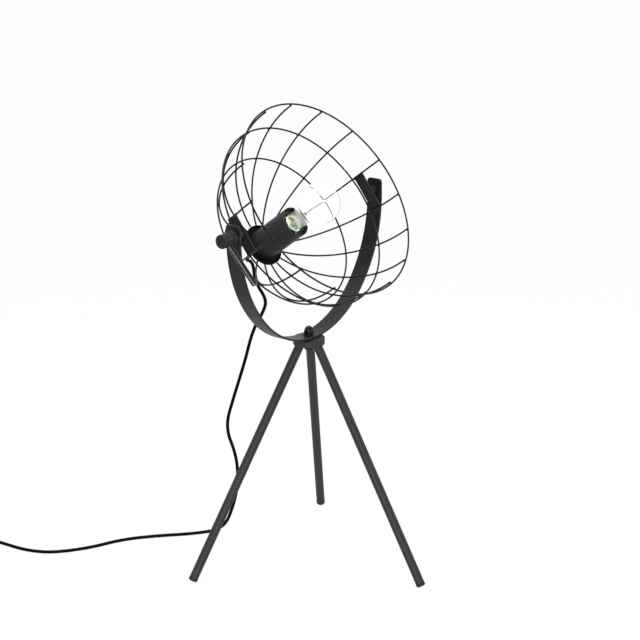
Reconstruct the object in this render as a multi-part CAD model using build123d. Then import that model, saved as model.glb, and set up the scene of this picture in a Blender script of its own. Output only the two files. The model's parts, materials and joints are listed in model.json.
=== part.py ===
from build123d import *
from math import acos, asin, atan2, cos, degrees, hypot, pi, radians, sin, sqrt, tan
import os

# Tabletop searchlight lamp: an open wire bowl with a clear globe bulb, tilting in a flat-strip
# yoke that swivels on a three-legged stand, with its mains cord, in-line switch and plug.
# Millimetres, +Z up. The origin is on the floor, on the stand's swivel axis. The tilt axis is
# parallel to X, and the bowl looks towards -Y.

# Stand
HUB_UNDERSIDE_Z = 337.0
HUB_THICKNESS = 10.0
HUB_PAST_LEGS = 1.14
HUB_CHAMFER = 0.8
LEG_DIAMETER = 13.0
LEG_WALL = 1.5
LEG_TILT_DEG = 27.95
LEG_CLEAR_OF_BOLT = 0.64
FIRST_LEG_DEG = 3.6
FOOT_CAP_LIP = 0.2
FOOT_CAP_HEAD = 5.0
FOOT_CAP_FILLET = 2.0
FOOT_CAP_STEM = 12.0
LEG_INSERT_LENGTH = 16.0
LEG_STUD_RADIUS = 3.0
LEG_STUD_IN_HUB = 9.0
LEG_STUD_IN_LEG = 13.0

# Fastener sizes
BOLT_RADIUS = 4.0
BOLT_HEAD_RADIUS = 6.5
BOLT_HEAD_HEIGHT = 8.0
BOLT_SOCKET_RADIUS = 3.4
BOLT_SOCKET_DEPTH = 4.0
NUT_ACROSS_FLATS = 13.0
CAP_NUT_HEX_HEIGHT = 6.0
CAP_NUT_DOME_RADIUS = 6.0
LOW_NUT_HEIGHT = 5.0
WASHER_THICKNESS = 1.0
SMALL_WASHER_RADIUS = 8.0
FRICTION_WASHER_RADIUS = 12.0
STUD_TIP = 1.9

# Yoke
YOKE_WIDTH = 25.0
YOKE_THICKNESS = 3.0
YOKE_CLEAR_OF_RIM = 8.85
YOKE_CLEAR_OF_SWEEP = 10.634
YOKE_BOTTOM_SHARE = 0.93
YOKE_BOTTOM_HALF_DEG = 45.0
YOKE_ABOVE_AXIS = 17.5
YOKE_CORNER = 5.0

# Bowl of wires and rings, on spheres about a centre ahead of the tilt axis
LIGHT_ELEVATION_DEG = 36.89
WIRE_DIAMETER = 2.5
WIRE_COUNT = 16
WIRE_SPHERE_RADIUS = 146.65
SPHERE_AHEAD = 38.0
RIM_AHEAD = 7.5
WIRE_PAST_RIM = 1.0
INNER_RING_POLAR_DEG = 51.3
WIRES_FLATTER_AT_CAP = 3.8
WELD_GAP = 0.05

# Tilt pivots
PLATE_THICKNESS = 2.0
PLATE_WIDTH = 17.5
PLATE_LENGTH = 58.0
PLATE_CORNER = 4.0
SPACER_RADIUS = 6.5

# Tilt knob
KNOB_HUB_RADIUS = 11.5
KNOB_HUB_LENGTH = 7.0
KNOB_STUB_RADIUS = 9.8
KNOB_STUB_LENGTH = 17.0
KNOB_EDGE = 1.0
LEVER_WIDTH = 8.0
LEVER_THICKNESS = 5.0
LEVER_REACH = 74.0
LEVER_TAIL = 6.0
LEVER_PAST_STUD = 2.7
LEVER_TURN_DEG = 6.0

# Cap behind the bowl, sleeve and lampholder; places run along the light's axis from the tilt axis
CAP_RADIUS = 31.5
CAP_FRONT_AHEAD_OF_WIRES = 1.5
CAP_DEPTH = 6.0
CAP_WALL = 1.5
CAP_FILLET = 3.5
SLEEVE_RADIUS = 22.5
SLEEVE_WALL = 1.2
SLEEVE_LENGTH = 77.4
NIPPLE_RADIUS = 5.0
NIPPLE_BORE = 3.2
NIPPLE_BEHIND_CAP = 5.0
HOLDER_NUT_ACROSS_FLATS = 14.0
HOLDER_NUT_HEIGHT = 4.0
GLAND_RADIUS = 6.0
GLAND_TIP_RADIUS = 3.5
GLAND_COLLAR = 6.0
GLAND_LENGTH = 20.0
HOLDER_DEPTH = 52.0
HOLDER_WALL_ROUND_SHELL = 1.3
HOLDER_NIPPLE_DEPTH = 10.0
SHELL_ROUND_THREAD = 0.6
SHELL_WALL = 0.5
SHELL_FLOOR_HOLE_RADIUS = 8.0
CONTACT_STRIP_WIDTH = 6.0
CONTACT_STRIP_LENGTH = 12.0
CONTACT_STRIP_THICKNESS = 0.8
CONTACT_POST_RADIUS = 4.0
CONTACT_RISE = 4.0
TERMINAL_SCREW_RADIUS = 1.5
TERMINAL_SCREW_HEAD_RADIUS = 2.8
TERMINAL_EDGE = 0.65
TERMINAL_SCREW_HEAD_HEIGHT = 2.0
TERMINAL_SCREW_LENGTH = 9.0

# Bulb
BULB_RADIUS = 30.0
BULB_CENTRE_AHEAD_OF_CAP = 57.8
BULB_NECK_RADIUS = 12.6
BULB_NECK_FILLET = 65.0
GLASS_WALL = 0.8
GLASS_IN_CAP = 6.0
BULB_CAP_BEHIND_MOUTH = 4.5
BULB_CAP_PAST_HOLDER = 2.0
BULB_COLLAR_WALL = 1.1
BULB_COLLAR_LENGTH = 5.0
THREAD_CREST_PAST_NECK = 0.5
THREAD_DEPTH = 0.9
THREAD_PITCH = 3.6
THREAD_FLANK = 0.3
THREAD_TURNS = 4
BULB_CAP_WALL = 0.5
INSULATOR_LENGTH = 5.6
INSULATOR_TIP_RADIUS = 6.5
BULB_CONTACT_RADIUS = 5.0
BULB_CONTACT_LENGTH = 2.0
STEM_FLARE_IN_NECK = 2.1
STEM_RADIUS = 2.6
STEM_LENGTH = 34.0
STEM_FLARE_SHARE = 0.5
LEAD_RADIUS = 0.5
LEADS_PAST_CENTRE = 3.7
LEAD_SPREAD = 11.0
FILAMENT_RADIUS = 0.6
FILAMENT_RISE = 5.0

# Cord, in-line switch and plug
CORD_DIAMETER = 5.0
CORD_BEND_SHARE = 0.45
GLAND_RUN = 24.0
SWITCH_LENGTH = 56.0
SWITCH_WIDTH = 24.0
SWITCH_HEIGHT = 16.0
SWITCH_SNOUT = 8.0
SNOUT_ROOT_RADIUS = 6.0
SNOUT_TIP_RADIUS = 4.0
SWITCH_CENTRE = (-331.0, 452.0)
SWITCH_EDGE = 3.0
SWITCH_FLOOR = 2.0
POCKET_LENGTH = 26.0
POCKET_WIDTH = 13.0
ROCKER_PIVOT_Z = 11.0
ROCKER_PIVOT_RADIUS = 1.5
ROCKER_PIVOT_REACH = 2.2
ROCKER_HALF_LENGTH = 11.3
ROCKER_TILT_DEG = 8.0
ROCKER_SIDE_GAP = 0.3
ROCKER_SKIRT = 3.0
ROCKER_HUB_HALF_WIDTH = 3.0
ROCKER_HUB_WALL = 1.0
SWITCH_SCREW_RADIUS = 1.4
SWITCH_SCREW_HEAD_RADIUS = 2.6
SWITCH_SCREW_OFFSET = 21.0
BLADE_THICKNESS = 0.8
BLADE_OFFSET = 8.5
BLADE_BELOW_PIVOT = 2.0
COIL_CENTRE = (-352.0, 388.0)
COIL_MEAN_DIAMETER = 52.0
COIL_WIDE = 3
COIL_HIGH = 2
COIL_EDGE = 2.0
PLUG_X = -434.0
PLUG_RELIEF_Y = 370.0
PLUG_Z = 7.0
PLUG_RELIEF_LENGTH = 22.0
PLUG_RELIEF_TIP_RADIUS = 3.6
PLUG_RELIEF_ROOT_RADIUS = 5.0
PLUG_BODY_LENGTH = 30.0
PLUG_BODY_WIDTH = 35.0
PLUG_BODY_HEIGHT = 14.0
PLUG_BODY_EDGE = 4.0
PIN_RADIUS = 2.0
PIN_LENGTH = 19.0
PIN_SPACING = 18.6
PIN_ROOT = 6.0
PIN_ROOT_RADIUS = 3.0

# Clearances
RUNNING = 0.08
FIT = 0.02
SLIDE_GAP = 0.3

# How far a cutting shape runs past the face that it cuts
CUT = 1.0

# Levels and places that follow
CORD_RADIUS = CORD_DIAMETER / 2
LEG_TILT = radians(LEG_TILT_DEG)
LIGHT_ELEVATION = radians(LIGHT_ELEVATION_DEG)
WIRE_RADIUS = WIRE_DIAMETER / 2
LEG_SIDE = LEG_DIAMETER / 2 / cos(LEG_TILT)
LEG_TOP_RADIUS = BOLT_HEAD_RADIUS + LEG_CLEAR_OF_BOLT + LEG_SIDE
HUB_DIAMETER = 2 * (LEG_TOP_RADIUS + LEG_SIDE + HUB_PAST_LEGS)
FOOT_CAP_RADIUS = LEG_DIAMETER / 2 + FOOT_CAP_LIP
RING_SPHERE_RADIUS = WIRE_SPHERE_RADIUS + WIRE_DIAMETER + WELD_GAP
RIM_RADIUS = sqrt(RING_SPHERE_RADIUS**2 - RIM_AHEAD**2)
RIM_POLAR_DEG = 90 + degrees(asin(RIM_AHEAD / RING_SPHERE_RADIUS))
MIDDLE_RING_BACK = PLATE_WIDTH / 2 + WIRE_RADIUS + WELD_GAP
MIDDLE_RING_POLAR_DEG = degrees(acos((SPHERE_AHEAD + MIDDLE_RING_BACK) / RING_SPHERE_RADIUS))
BOWL_SWEEP = hypot(SPHERE_AHEAD + RIM_AHEAD + WIRE_RADIUS, RIM_RADIUS + WIRE_RADIUS)
CAP_NUT_HEIGHT = WASHER_THICKNESS + CAP_NUT_HEX_HEIGHT + CAP_NUT_DOME_RADIUS
YOKE_HALF_GAP = RIM_RADIUS + WIRE_RADIUS + YOKE_CLEAR_OF_RIM
YOKE_DEPTH = BOWL_SWEEP + CAP_NUT_HEIGHT + YOKE_CLEAR_OF_SWEEP
YOKE_BOTTOM_RADIUS = YOKE_BOTTOM_SHARE * YOKE_HALF_GAP
HUB_TOP_Z = HUB_UNDERSIDE_Z + HUB_THICKNESS
YOKE_UNDERSIDE_Z = HUB_TOP_Z + WASHER_THICKNESS
YOKE_FLOOR_Z = YOKE_UNDERSIDE_Z + YOKE_THICKNESS
TILT_Z = YOKE_FLOOR_Z + YOKE_DEPTH
YOKE_TOP_Z = TILT_Z + YOKE_ABOVE_AXIS
YOKE_OUTER_X = YOKE_HALF_GAP + YOKE_THICKNESS
PLATE_FRONT_IN_SPHERE = SPHERE_AHEAD - PLATE_WIDTH / 2
PLATE_WIRE_X = sqrt(WIRE_SPHERE_RADIUS**2 - PLATE_FRONT_IN_SPHERE**2) * cos(pi / WIRE_COUNT)
PLATE_X = PLATE_WIRE_X + WIRE_RADIUS + WELD_GAP
WIRE_END = SPHERE_AHEAD - sqrt(WIRE_SPHERE_RADIUS**2 - CAP_RADIUS**2) + WIRES_FLATTER_AT_CAP
CAP_FRONT = WIRE_END + CAP_FRONT_AHEAD_OF_WIRES
CAP_BACK = CAP_FRONT - CAP_DEPTH
CAP_INNER_BACK = CAP_BACK + CAP_WALL
GLAND_TIP = CAP_BACK - GLAND_LENGTH
SLEEVE_FLOOR = CAP_INNER_BACK + SLEEVE_WALL
SLEEVE_MOUTH = CAP_INNER_BACK + SLEEVE_LENGTH
HOLDER_RADIUS = SLEEVE_RADIUS - SLEEVE_WALL - WELD_GAP
BULB_CAP_FRONT = SLEEVE_MOUTH - BULB_CAP_BEHIND_MOUTH
HOLDER_FRONT = BULB_CAP_FRONT - BULB_CAP_PAST_HOLDER
HOLDER_BACK = HOLDER_FRONT - HOLDER_DEPTH
TERMINAL_OFFSET = HOLDER_RADIUS - TERMINAL_SCREW_HEAD_RADIUS - TERMINAL_EDGE
BULB_CENTRE = BULB_CAP_FRONT + BULB_CENTRE_AHEAD_OF_CAP
BULB_COLLAR_RADIUS = BULB_NECK_RADIUS + BULB_COLLAR_WALL
THREAD_CREST_RADIUS = BULB_NECK_RADIUS + THREAD_CREST_PAST_NECK
THREAD_ROOT_RADIUS = THREAD_CREST_RADIUS - THREAD_DEPTH
THREAD_MEAN_RADIUS = THREAD_CREST_RADIUS - THREAD_DEPTH / 2
THREAD_CORNERS = (
    (THREAD_ROOT_RADIUS, THREAD_FLANK / 2),
    (THREAD_ROOT_RADIUS, 0.5 - THREAD_FLANK / 2),
    (THREAD_CREST_RADIUS, 0.5 + THREAD_FLANK / 2),
    (THREAD_CREST_RADIUS, 1 - THREAD_FLANK / 2),
)
SHELL_RADIUS = THREAD_CREST_RADIUS + SHELL_ROUND_THREAD + SHELL_WALL
HOLDER_BORE_RADIUS = SHELL_RADIUS + HOLDER_WALL_ROUND_SHELL
STEM_FLARE_RADIUS = BULB_NECK_RADIUS - STEM_FLARE_IN_NECK
GLASS_END = BULB_CAP_FRONT - GLASS_IN_CAP
STEM_TOP = GLASS_END + STEM_LENGTH
LEAD_TOP = BULB_CENTRE + LEADS_PAST_CENTRE
THREAD_END = BULB_CAP_FRONT - BULB_COLLAR_LENGTH - THREAD_PITCH * THREAD_TURNS
BULB_CONTACT_FRONT = THREAD_END - INSULATOR_LENGTH
BULB_END = BULB_CONTACT_FRONT - BULB_CONTACT_LENGTH
SHELL_FRONT = BULB_CAP_FRONT - BULB_COLLAR_LENGTH - SLIDE_GAP
SHELL_BACK = BULB_END - CONTACT_RISE
KNOB_FACE = YOKE_OUTER_X + WASHER_THICKNESS
STUD_PAST_WASHER = LOW_NUT_HEIGHT + STUD_TIP

# The head's own frame: x is the tilt axis, z the light's axis, both from the tilt axis
HEAD = Plane(
    origin=(0, 0, TILT_Z),
    x_dir=(1, 0, 0),
    z_dir=(0, -cos(LIGHT_ELEVATION), sin(LIGHT_ELEVATION)),
)


def along_light(x, y, ahead):
    """Place in the part's frame of a point given in the head's frame."""
    return (
        x,
        y * sin(LIGHT_ELEVATION) - ahead * cos(LIGHT_ELEVATION),
        TILT_Z + y * cos(LIGHT_ELEVATION) + ahead * sin(LIGHT_ELEVATION),
    )


# The cord's route, chosen by eye: out of the gland, down behind the yoke, onto the floor
LAID = CORD_RADIUS
SPLIT_AFTER = 7
ROUTE = [
    along_light(0, 0, GLAND_TIP),
    along_light(0, 0, GLAND_TIP - GLAND_RUN),
    (31, 128, 431),
    (28, 123, 401),
    (23, 96, 379),
    (13, 96, 362),
    (3, 108, 335),
    (1, 123, 283),
    (1, 146, 223),
    (-2, 163, 170),
    (1, 144, 127),
    (0, 141, 84),
    (0, 151, 44),
    (-9, 165, LAID),
    (-48, 189, LAID),
    (-92, 234, LAID),
    (-133, 266, LAID),
    (-182, 284, LAID),
    (-229, 318, LAID),
    (-246, 357, LAID),
    (-249, 398, LAID),
    (-255, 432, 4.5),
    (-274, 452, 8),
    (-295, 452, 8),
]
TAIL_ROUTE = [
    (-367, 452, 8),
    (-388, 452, 8),
    (-403, 437, 5.5),
    (-401, 415, 3),
    (-389, 400, LAID),
    (-383, 387, LAID),
]
PLUG_ROUTE = [
    (-383, 387, 3 * LAID),
    (-384, 369, 6),
    (-388, 350, 3.5),
    (-400, 333, LAID),
    (-421, 333, 4),
    (-434, 348, 7),
    (-434, 370, 7),
]


def save(name, *solids):
    """Write one node: a single solid, or a group of separate ones."""
    shape = solids[0] if len(solids) == 1 else Compound(children=list(solids))
    export_step(shape, f"parts/{name}.step")


def rod(radius, low, high):
    """A cylinder about the local Z axis between two levels."""
    start, end = min(low, high), max(low, high)
    return Pos(0, 0, start) * Cylinder(radius, end - start, align=(Align.CENTER, Align.CENTER, Align.MIN))


def taper(low_radius, high_radius, low, high):
    """A cone frustum about the local Z axis between two levels."""
    cone = Cone(low_radius, high_radius, high - low, align=(Align.CENTER, Align.CENTER, Align.MIN))
    return Pos(0, 0, low) * cone


def washer(outer, inner, low, high):
    return rod(outer, low, high) - rod(inner, low - CUT, high + CUT)


def hexagon(across_flats, low, high):
    flat = RegularPolygon(across_flats / 2, 6, major_radius=False)
    return Pos(0, 0, low) * extrude(flat, high - low)


def along_x(shape, side=1):
    """Turn a shape about local Z to lie along the tilt axis, pointing to +X or to -X."""
    return Pos(0, 0, TILT_Z) * Rot(0, 90 * side, 0) * shape


def in_head(shape):
    return HEAD * shape


# ---- Stand ----------------------------------------------------------------------------------

def foot_end_z():
    """Height of the centre of a foot's end face when its rounded edge touches the floor."""
    flat = FOOT_CAP_RADIUS - FOOT_CAP_FILLET
    return flat * sin(LEG_TILT) + FOOT_CAP_FILLET * (1 - cos(LEG_TILT))


LEG_LENGTH = (HUB_UNDERSIDE_Z - foot_end_z()) / cos(LEG_TILT)


def leg_plane(turn_deg):
    """Local frame of one leg: its origin on the hub's underside, local Z down the leg."""
    out = (sin(radians(turn_deg)), -cos(radians(turn_deg)))
    origin = (LEG_TOP_RADIUS * out[0], LEG_TOP_RADIUS * out[1], HUB_UNDERSIDE_Z)
    down = (out[0] * sin(LEG_TILT), out[1] * sin(LEG_TILT), -cos(LEG_TILT))
    return Plane(origin=origin, x_dir=(-out[1], out[0], 0), z_dir=down)


def below_hub(shape):
    """Cut a leg piece off flush with the hub's underside."""
    block = Pos(0, 0, HUB_UNDERSIDE_Z) * Box(
        4 * HUB_DIAMETER, 4 * HUB_DIAMETER, 2 * LEG_DIAMETER, align=(Align.CENTER, Align.CENTER, Align.MIN)
    )
    return shape - block


def leg(frame):
    tube = washer(LEG_DIAMETER / 2, LEG_DIAMETER / 2 - LEG_WALL, -LEG_DIAMETER, LEG_LENGTH - FOOT_CAP_HEAD)
    return below_hub(frame * tube)


def leg_insert(frame):
    outer = LEG_DIAMETER / 2 - LEG_WALL - FIT
    return below_hub(frame * washer(outer, LEG_STUD_RADIUS + FIT, -LEG_DIAMETER, LEG_INSERT_LENGTH))


def leg_stud(frame):
    return frame * rod(LEG_STUD_RADIUS, -LEG_STUD_IN_HUB, LEG_STUD_IN_LEG)


def foot_cap(frame):
    head = rod(FOOT_CAP_RADIUS, LEG_LENGTH - FOOT_CAP_HEAD, LEG_LENGTH)
    head = fillet(head.edges().group_by(Axis.Z)[-1], FOOT_CAP_FILLET)
    stem_radius = LEG_DIAMETER / 2 - LEG_WALL - FIT
    stem = rod(stem_radius, LEG_LENGTH - FOOT_CAP_HEAD - FOOT_CAP_STEM, LEG_LENGTH - FOOT_CAP_HEAD)
    return frame * (head + stem)


def tripod_hub(frames):
    hub = rod(HUB_DIAMETER / 2, HUB_UNDERSIDE_Z, HUB_TOP_Z)
    hub = chamfer(hub.edges(), HUB_CHAMFER)
    hub -= rod(BOLT_RADIUS + FIT, HUB_UNDERSIDE_Z - CUT, HUB_TOP_Z + CUT)
    for frame in frames:
        hub -= frame * rod(LEG_STUD_RADIUS + FIT, -LEG_STUD_IN_HUB, LEG_STUD_IN_LEG)
    return hub


def swivel_bolt():
    top = YOKE_FLOOR_Z + WASHER_THICKNESS + CAP_NUT_HEX_HEIGHT
    low = HUB_UNDERSIDE_Z - BOLT_HEAD_HEIGHT
    socket = hexagon(2 * BOLT_SOCKET_RADIUS, low - CUT, low + BOLT_SOCKET_DEPTH)
    return rod(BOLT_HEAD_RADIUS, low, HUB_UNDERSIDE_Z) + rod(BOLT_RADIUS, HUB_UNDERSIDE_Z, top) - socket


def cap_nut(base):
    """A domed hexagon nut standing on a level, bored for the bolt's end."""
    dome_low = base + CAP_NUT_HEX_HEIGHT
    ball = Pos(0, 0, dome_low) * Sphere(CAP_NUT_DOME_RADIUS)
    corner = rod(CAP_NUT_DOME_RADIUS, base, dome_low + CAP_NUT_DOME_RADIUS)
    dome = (ball & corner) - rod(2 * CAP_NUT_DOME_RADIUS, base - CUT, dome_low)
    nut = hexagon(NUT_ACROSS_FLATS, base, dome_low) + dome
    return nut - rod(BOLT_RADIUS + FIT, base - CUT, base + CAP_NUT_HEX_HEIGHT)


# ---- Yoke -----------------------------------------------------------------------------------

def yoke_outline(grow):
    """Half outline of the strip's inner face, or of the outer face when grown by its thickness."""
    half = radians(YOKE_BOTTOM_HALF_DEG)
    side_radius = (YOKE_HALF_GAP - YOKE_BOTTOM_RADIUS * sin(half)) / (1 - sin(half))
    bottom_centre_z = YOKE_FLOOR_Z + YOKE_BOTTOM_RADIUS
    side_x = YOKE_HALF_GAP - side_radius
    side_z = bottom_centre_z + (side_radius - YOKE_BOTTOM_RADIUS) * cos(half)
    bottom = YOKE_BOTTOM_RADIUS + grow
    side = side_radius + grow
    mid = half + (pi / 2 - half) / 2
    start = (0, bottom_centre_z - bottom)
    quarter = (bottom * sin(half / 2), bottom_centre_z - bottom * cos(half / 2))
    join = (bottom * sin(half), bottom_centre_z - bottom * cos(half))
    bulge = (side_x + side * sin(mid), side_z - side * cos(mid))
    upright = (side_x + side, side_z)
    return start, quarter, join, bulge, upright


def yoke_strip():
    inner = yoke_outline(0)
    outer = yoke_outline(YOKE_THICKNESS)
    edges = []
    for start, quarter, join, bulge, upright in (inner, outer):
        edges.append(ThreePointArc(start, quarter, join))
        edges.append(ThreePointArc(join, bulge, upright))
        edges.append(Line(upright, (upright[0], YOKE_TOP_Z)))
    edges.append(Line((inner[4][0], YOKE_TOP_Z), (outer[4][0], YOKE_TOP_Z)))
    edges.append(Line(inner[0], outer[0]))
    half = extrude(Plane.XZ * make_face(edges), YOKE_WIDTH / 2, both=True)
    return half + mirror(half, Plane.YZ)


def yoke():
    strip = yoke_strip()
    corners = strip.edges().filter_by(Axis.X).filter_by_position(Axis.Z, YOKE_TOP_Z - 0.1, YOKE_TOP_Z + 0.1)
    strip = fillet(corners, YOKE_CORNER)
    hole = BOLT_RADIUS + RUNNING
    strip -= rod(hole, YOKE_UNDERSIDE_Z - CUT, YOKE_FLOOR_Z + CUT)
    strip -= rod(SMALL_WASHER_RADIUS + SLIDE_GAP, YOKE_FLOOR_Z, YOKE_FLOOR_Z + CUT)
    for side in (1, -1):
        strip -= along_x(rod(hole, YOKE_HALF_GAP - CUT, YOKE_OUTER_X + CUT), side)
    return strip


# ---- Bowl -----------------------------------------------------------------------------------

def ring(polar_deg):
    """A welded hoop outside the wires, at an angle from the bowl's back pole."""
    polar = radians(polar_deg)
    radius = RING_SPHERE_RADIUS * sin(polar)
    return Pos(0, 0, SPHERE_AHEAD - RING_SPHERE_RADIUS * cos(polar)) * Torus(radius, WIRE_RADIUS)


def cage_wire():
    """One meridian wire in the local XZ plane: round the sphere, then flatter up to the cap's side."""
    first = radians(RIM_POLAR_DEG) + WIRE_PAST_RIM / WIRE_SPHERE_RADIUS
    last = radians(INNER_RING_POLAR_DEG)
    points = []
    for polar in (first, (first + last) / 2, last):
        points.append((WIRE_SPHERE_RADIUS * sin(polar), 0, SPHERE_AHEAD - WIRE_SPHERE_RADIUS * cos(polar)))
    outer = ThreePointArc(*points)
    end_radius = CAP_RADIUS + WIRE_RADIUS * CAP_RADIUS / WIRE_SPHERE_RADIUS + WELD_GAP
    inner = TangentArc(outer @ 1, (end_radius, 0, WIRE_END), tangent=outer % 1)
    path = Wire([outer, inner])
    section = Plane(origin=path @ 0, z_dir=path % 0) * Circle(WIRE_RADIUS)
    return sweep(section, path=path)


def cage_wires():
    wire = cage_wire()
    step = 360 / WIRE_COUNT
    return [Rot(0, 0, (i + 0.5) * step) * wire for i in range(WIRE_COUNT)]


def pivot_plate():
    plate = Pos(PLATE_X + PLATE_THICKNESS / 2, 0, 0) * Box(PLATE_THICKNESS, PLATE_LENGTH, PLATE_WIDTH)
    plate = fillet(plate.edges().filter_by(Axis.X), PLATE_CORNER)
    return plate - Rot(0, 90, 0) * rod(BOLT_RADIUS + FIT, PLATE_X - CUT, PLATE_X + PLATE_THICKNESS + CUT)


def save_pivots():
    """Plates, studs, spacers and washers of both pivots, and the plain right-hand nut."""
    plate_face = PLATE_X + PLATE_THICKNESS
    washer_end = YOKE_HALF_GAP - WELD_GAP
    spacer_end = washer_end - WASHER_THICKNESS
    hole = BOLT_RADIUS + FIT
    inner_washers = []
    outer_washers = []
    for name, side, turn in (("right", 1, 0), ("left", -1, 180)):
        save(f"pivot_plate_{name}", in_head(Rot(0, 0, turn) * pivot_plate()))
        save(f"tilt_stud_{name}", along_x(rod(BOLT_RADIUS, PLATE_X, KNOB_FACE + STUD_PAST_WASHER), side))
        save(f"tilt_spacer_{name}", along_x(washer(SPACER_RADIUS, hole, plate_face, spacer_end), side))
        inner_washers.append(along_x(washer(SMALL_WASHER_RADIUS, hole, spacer_end, washer_end), side))
        outer_washers.append(along_x(washer(SMALL_WASHER_RADIUS, hole, YOKE_OUTER_X, KNOB_FACE), side))
    save("tilt_inner_washers", *inner_washers)
    save("tilt_outer_washers", *outer_washers)
    nut = hexagon(NUT_ACROSS_FLATS, KNOB_FACE, KNOB_FACE + LOW_NUT_HEIGHT)
    nut -= rod(hole, KNOB_FACE - CUT, KNOB_FACE + LOW_NUT_HEIGHT + CUT)
    save("tilt_nut", along_x(nut, 1))


# ---- Tilt knob ------------------------------------------------------------------------------

def knob_body():
    hub = rod(KNOB_HUB_RADIUS, KNOB_FACE, KNOB_FACE + KNOB_HUB_LENGTH)
    hub = fillet(hub.edges().group_by(Axis.Z)[-1], KNOB_EDGE)
    end = KNOB_FACE + KNOB_HUB_LENGTH + KNOB_STUB_LENGTH
    stub = rod(KNOB_STUB_RADIUS, KNOB_FACE + KNOB_HUB_LENGTH, end)
    stub = fillet(stub.edges().group_by(Axis.Z)[-1], KNOB_EDGE)
    bore = rod(BOLT_RADIUS + RUNNING, KNOB_FACE - CUT, KNOB_FACE + STUD_PAST_WASHER + SLIDE_GAP)
    return hub + stub - bore


def knob_lever(grow):
    """The flat bar through the knob's stub, or the slot that takes it when grown by a fit."""
    middle = KNOB_FACE + STUD_PAST_WASHER + SLIDE_GAP + LEVER_PAST_STUD + LEVER_WIDTH / 2
    length = LEVER_REACH + LEVER_TAIL
    bar = Box(LEVER_THICKNESS + 2 * grow, length + 2 * grow, LEVER_WIDTH + 2 * grow)
    bar = Pos(0, (LEVER_REACH - LEVER_TAIL) / 2, middle) * bar
    return fillet(bar.edges().filter_by(Axis.Z).group_by(Axis.Y)[-1], LEVER_THICKNESS / 2 - FIT)


def place_knob(shape):
    """Set the knob on the left stud with its lever hanging behind the yoke's arm."""
    across = 180 + degrees(LIGHT_ELEVATION) - 90 + LEVER_TURN_DEG
    return along_x(Rot(0, 0, across) * shape, -1)


# ---- Cap, sleeve and lampholder -------------------------------------------------------------

def cage_cap():
    cup = rod(CAP_RADIUS, CAP_BACK, CAP_FRONT)
    cup = fillet(cup.edges().group_by(Axis.Z)[0], CAP_FILLET)
    hollow = rod(CAP_RADIUS - CAP_WALL, CAP_INNER_BACK, CAP_FRONT + CUT)
    hollow = fillet(hollow.edges().group_by(Axis.Z)[0], CAP_FILLET - CAP_WALL)
    return cup - hollow - rod(NIPPLE_RADIUS + FIT, CAP_BACK - CUT, CAP_FRONT)


def holder_sleeve():
    tube = rod(SLEEVE_RADIUS, CAP_INNER_BACK, SLEEVE_MOUTH)
    tube -= rod(SLEEVE_RADIUS - SLEEVE_WALL, SLEEVE_FLOOR, SLEEVE_MOUTH + CUT)
    return tube - rod(NIPPLE_RADIUS + FIT, CAP_INNER_BACK - CUT, SLEEVE_FLOOR + CUT)


def holder_nipple():
    return washer(NIPPLE_RADIUS, NIPPLE_BORE, CAP_BACK - NIPPLE_BEHIND_CAP, HOLDER_BACK + HOLDER_NIPPLE_DEPTH)


def holder_nut():
    nut = hexagon(HOLDER_NUT_ACROSS_FLATS, SLEEVE_FLOOR, SLEEVE_FLOOR + HOLDER_NUT_HEIGHT)
    return nut - rod(NIPPLE_RADIUS + FIT, SLEEVE_FLOOR - CUT, SLEEVE_FLOOR + HOLDER_NUT_HEIGHT + CUT)


def cord_gland():
    """Strain relief: a collar on the nipple's end and a long taper that the cord leaves."""
    collar_end = CAP_BACK - GLAND_COLLAR
    body = rod(GLAND_RADIUS, collar_end, CAP_BACK)
    body += taper(GLAND_TIP_RADIUS, GLAND_RADIUS, GLAND_TIP, collar_end)
    return body - rod(NIPPLE_RADIUS + FIT, CAP_BACK - NIPPLE_BEHIND_CAP - FIT, CAP_BACK + CUT)


def lampholder_body():
    body = rod(HOLDER_RADIUS, HOLDER_BACK, HOLDER_FRONT)
    body -= rod(HOLDER_BORE_RADIUS, SHELL_BACK, HOLDER_FRONT + CUT)
    body -= rod(NIPPLE_RADIUS + FIT, HOLDER_BACK - CUT, HOLDER_BACK + HOLDER_NIPPLE_DEPTH)
    body -= rod(NIPPLE_BORE, HOLDER_BACK, HOLDER_FRONT)
    for x in (-TERMINAL_OFFSET, TERMINAL_OFFSET):
        body -= Pos(x, 0, 0) * terminal_screw(FIT)
    return body


def terminal_screw(grow):
    head_end = HOLDER_BACK + TERMINAL_SCREW_HEAD_HEIGHT + grow
    head = rod(TERMINAL_SCREW_HEAD_RADIUS + grow, HOLDER_BACK, head_end)
    return head + rod(TERMINAL_SCREW_RADIUS + grow, HOLDER_BACK, HOLDER_BACK + TERMINAL_SCREW_LENGTH + grow)


def holder_shell():
    """Threaded brass shell seated on the floor of the holder's bore."""
    cup = rod(SHELL_RADIUS, SHELL_BACK, SHELL_FRONT)
    cup -= rod(SHELL_RADIUS - SHELL_WALL, SHELL_BACK + SHELL_WALL, HOLDER_FRONT)
    return cup - rod(SHELL_FLOOR_HOLE_RADIUS, SHELL_BACK - CUT, SHELL_BACK + CUT)


def holder_centre_contact():
    """A post on the bore's floor with a broad spring tongue under the bulb's end contact."""
    post = rod(CONTACT_POST_RADIUS, SHELL_BACK, BULB_END - CONTACT_STRIP_THICKNESS)
    tongue = Box(CONTACT_STRIP_LENGTH, CONTACT_STRIP_WIDTH, CONTACT_STRIP_THICKNESS)
    return post + Pos(0, 0, BULB_END - CONTACT_STRIP_THICKNESS / 2) * tongue


# ---- Bulb -----------------------------------------------------------------------------------

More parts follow.
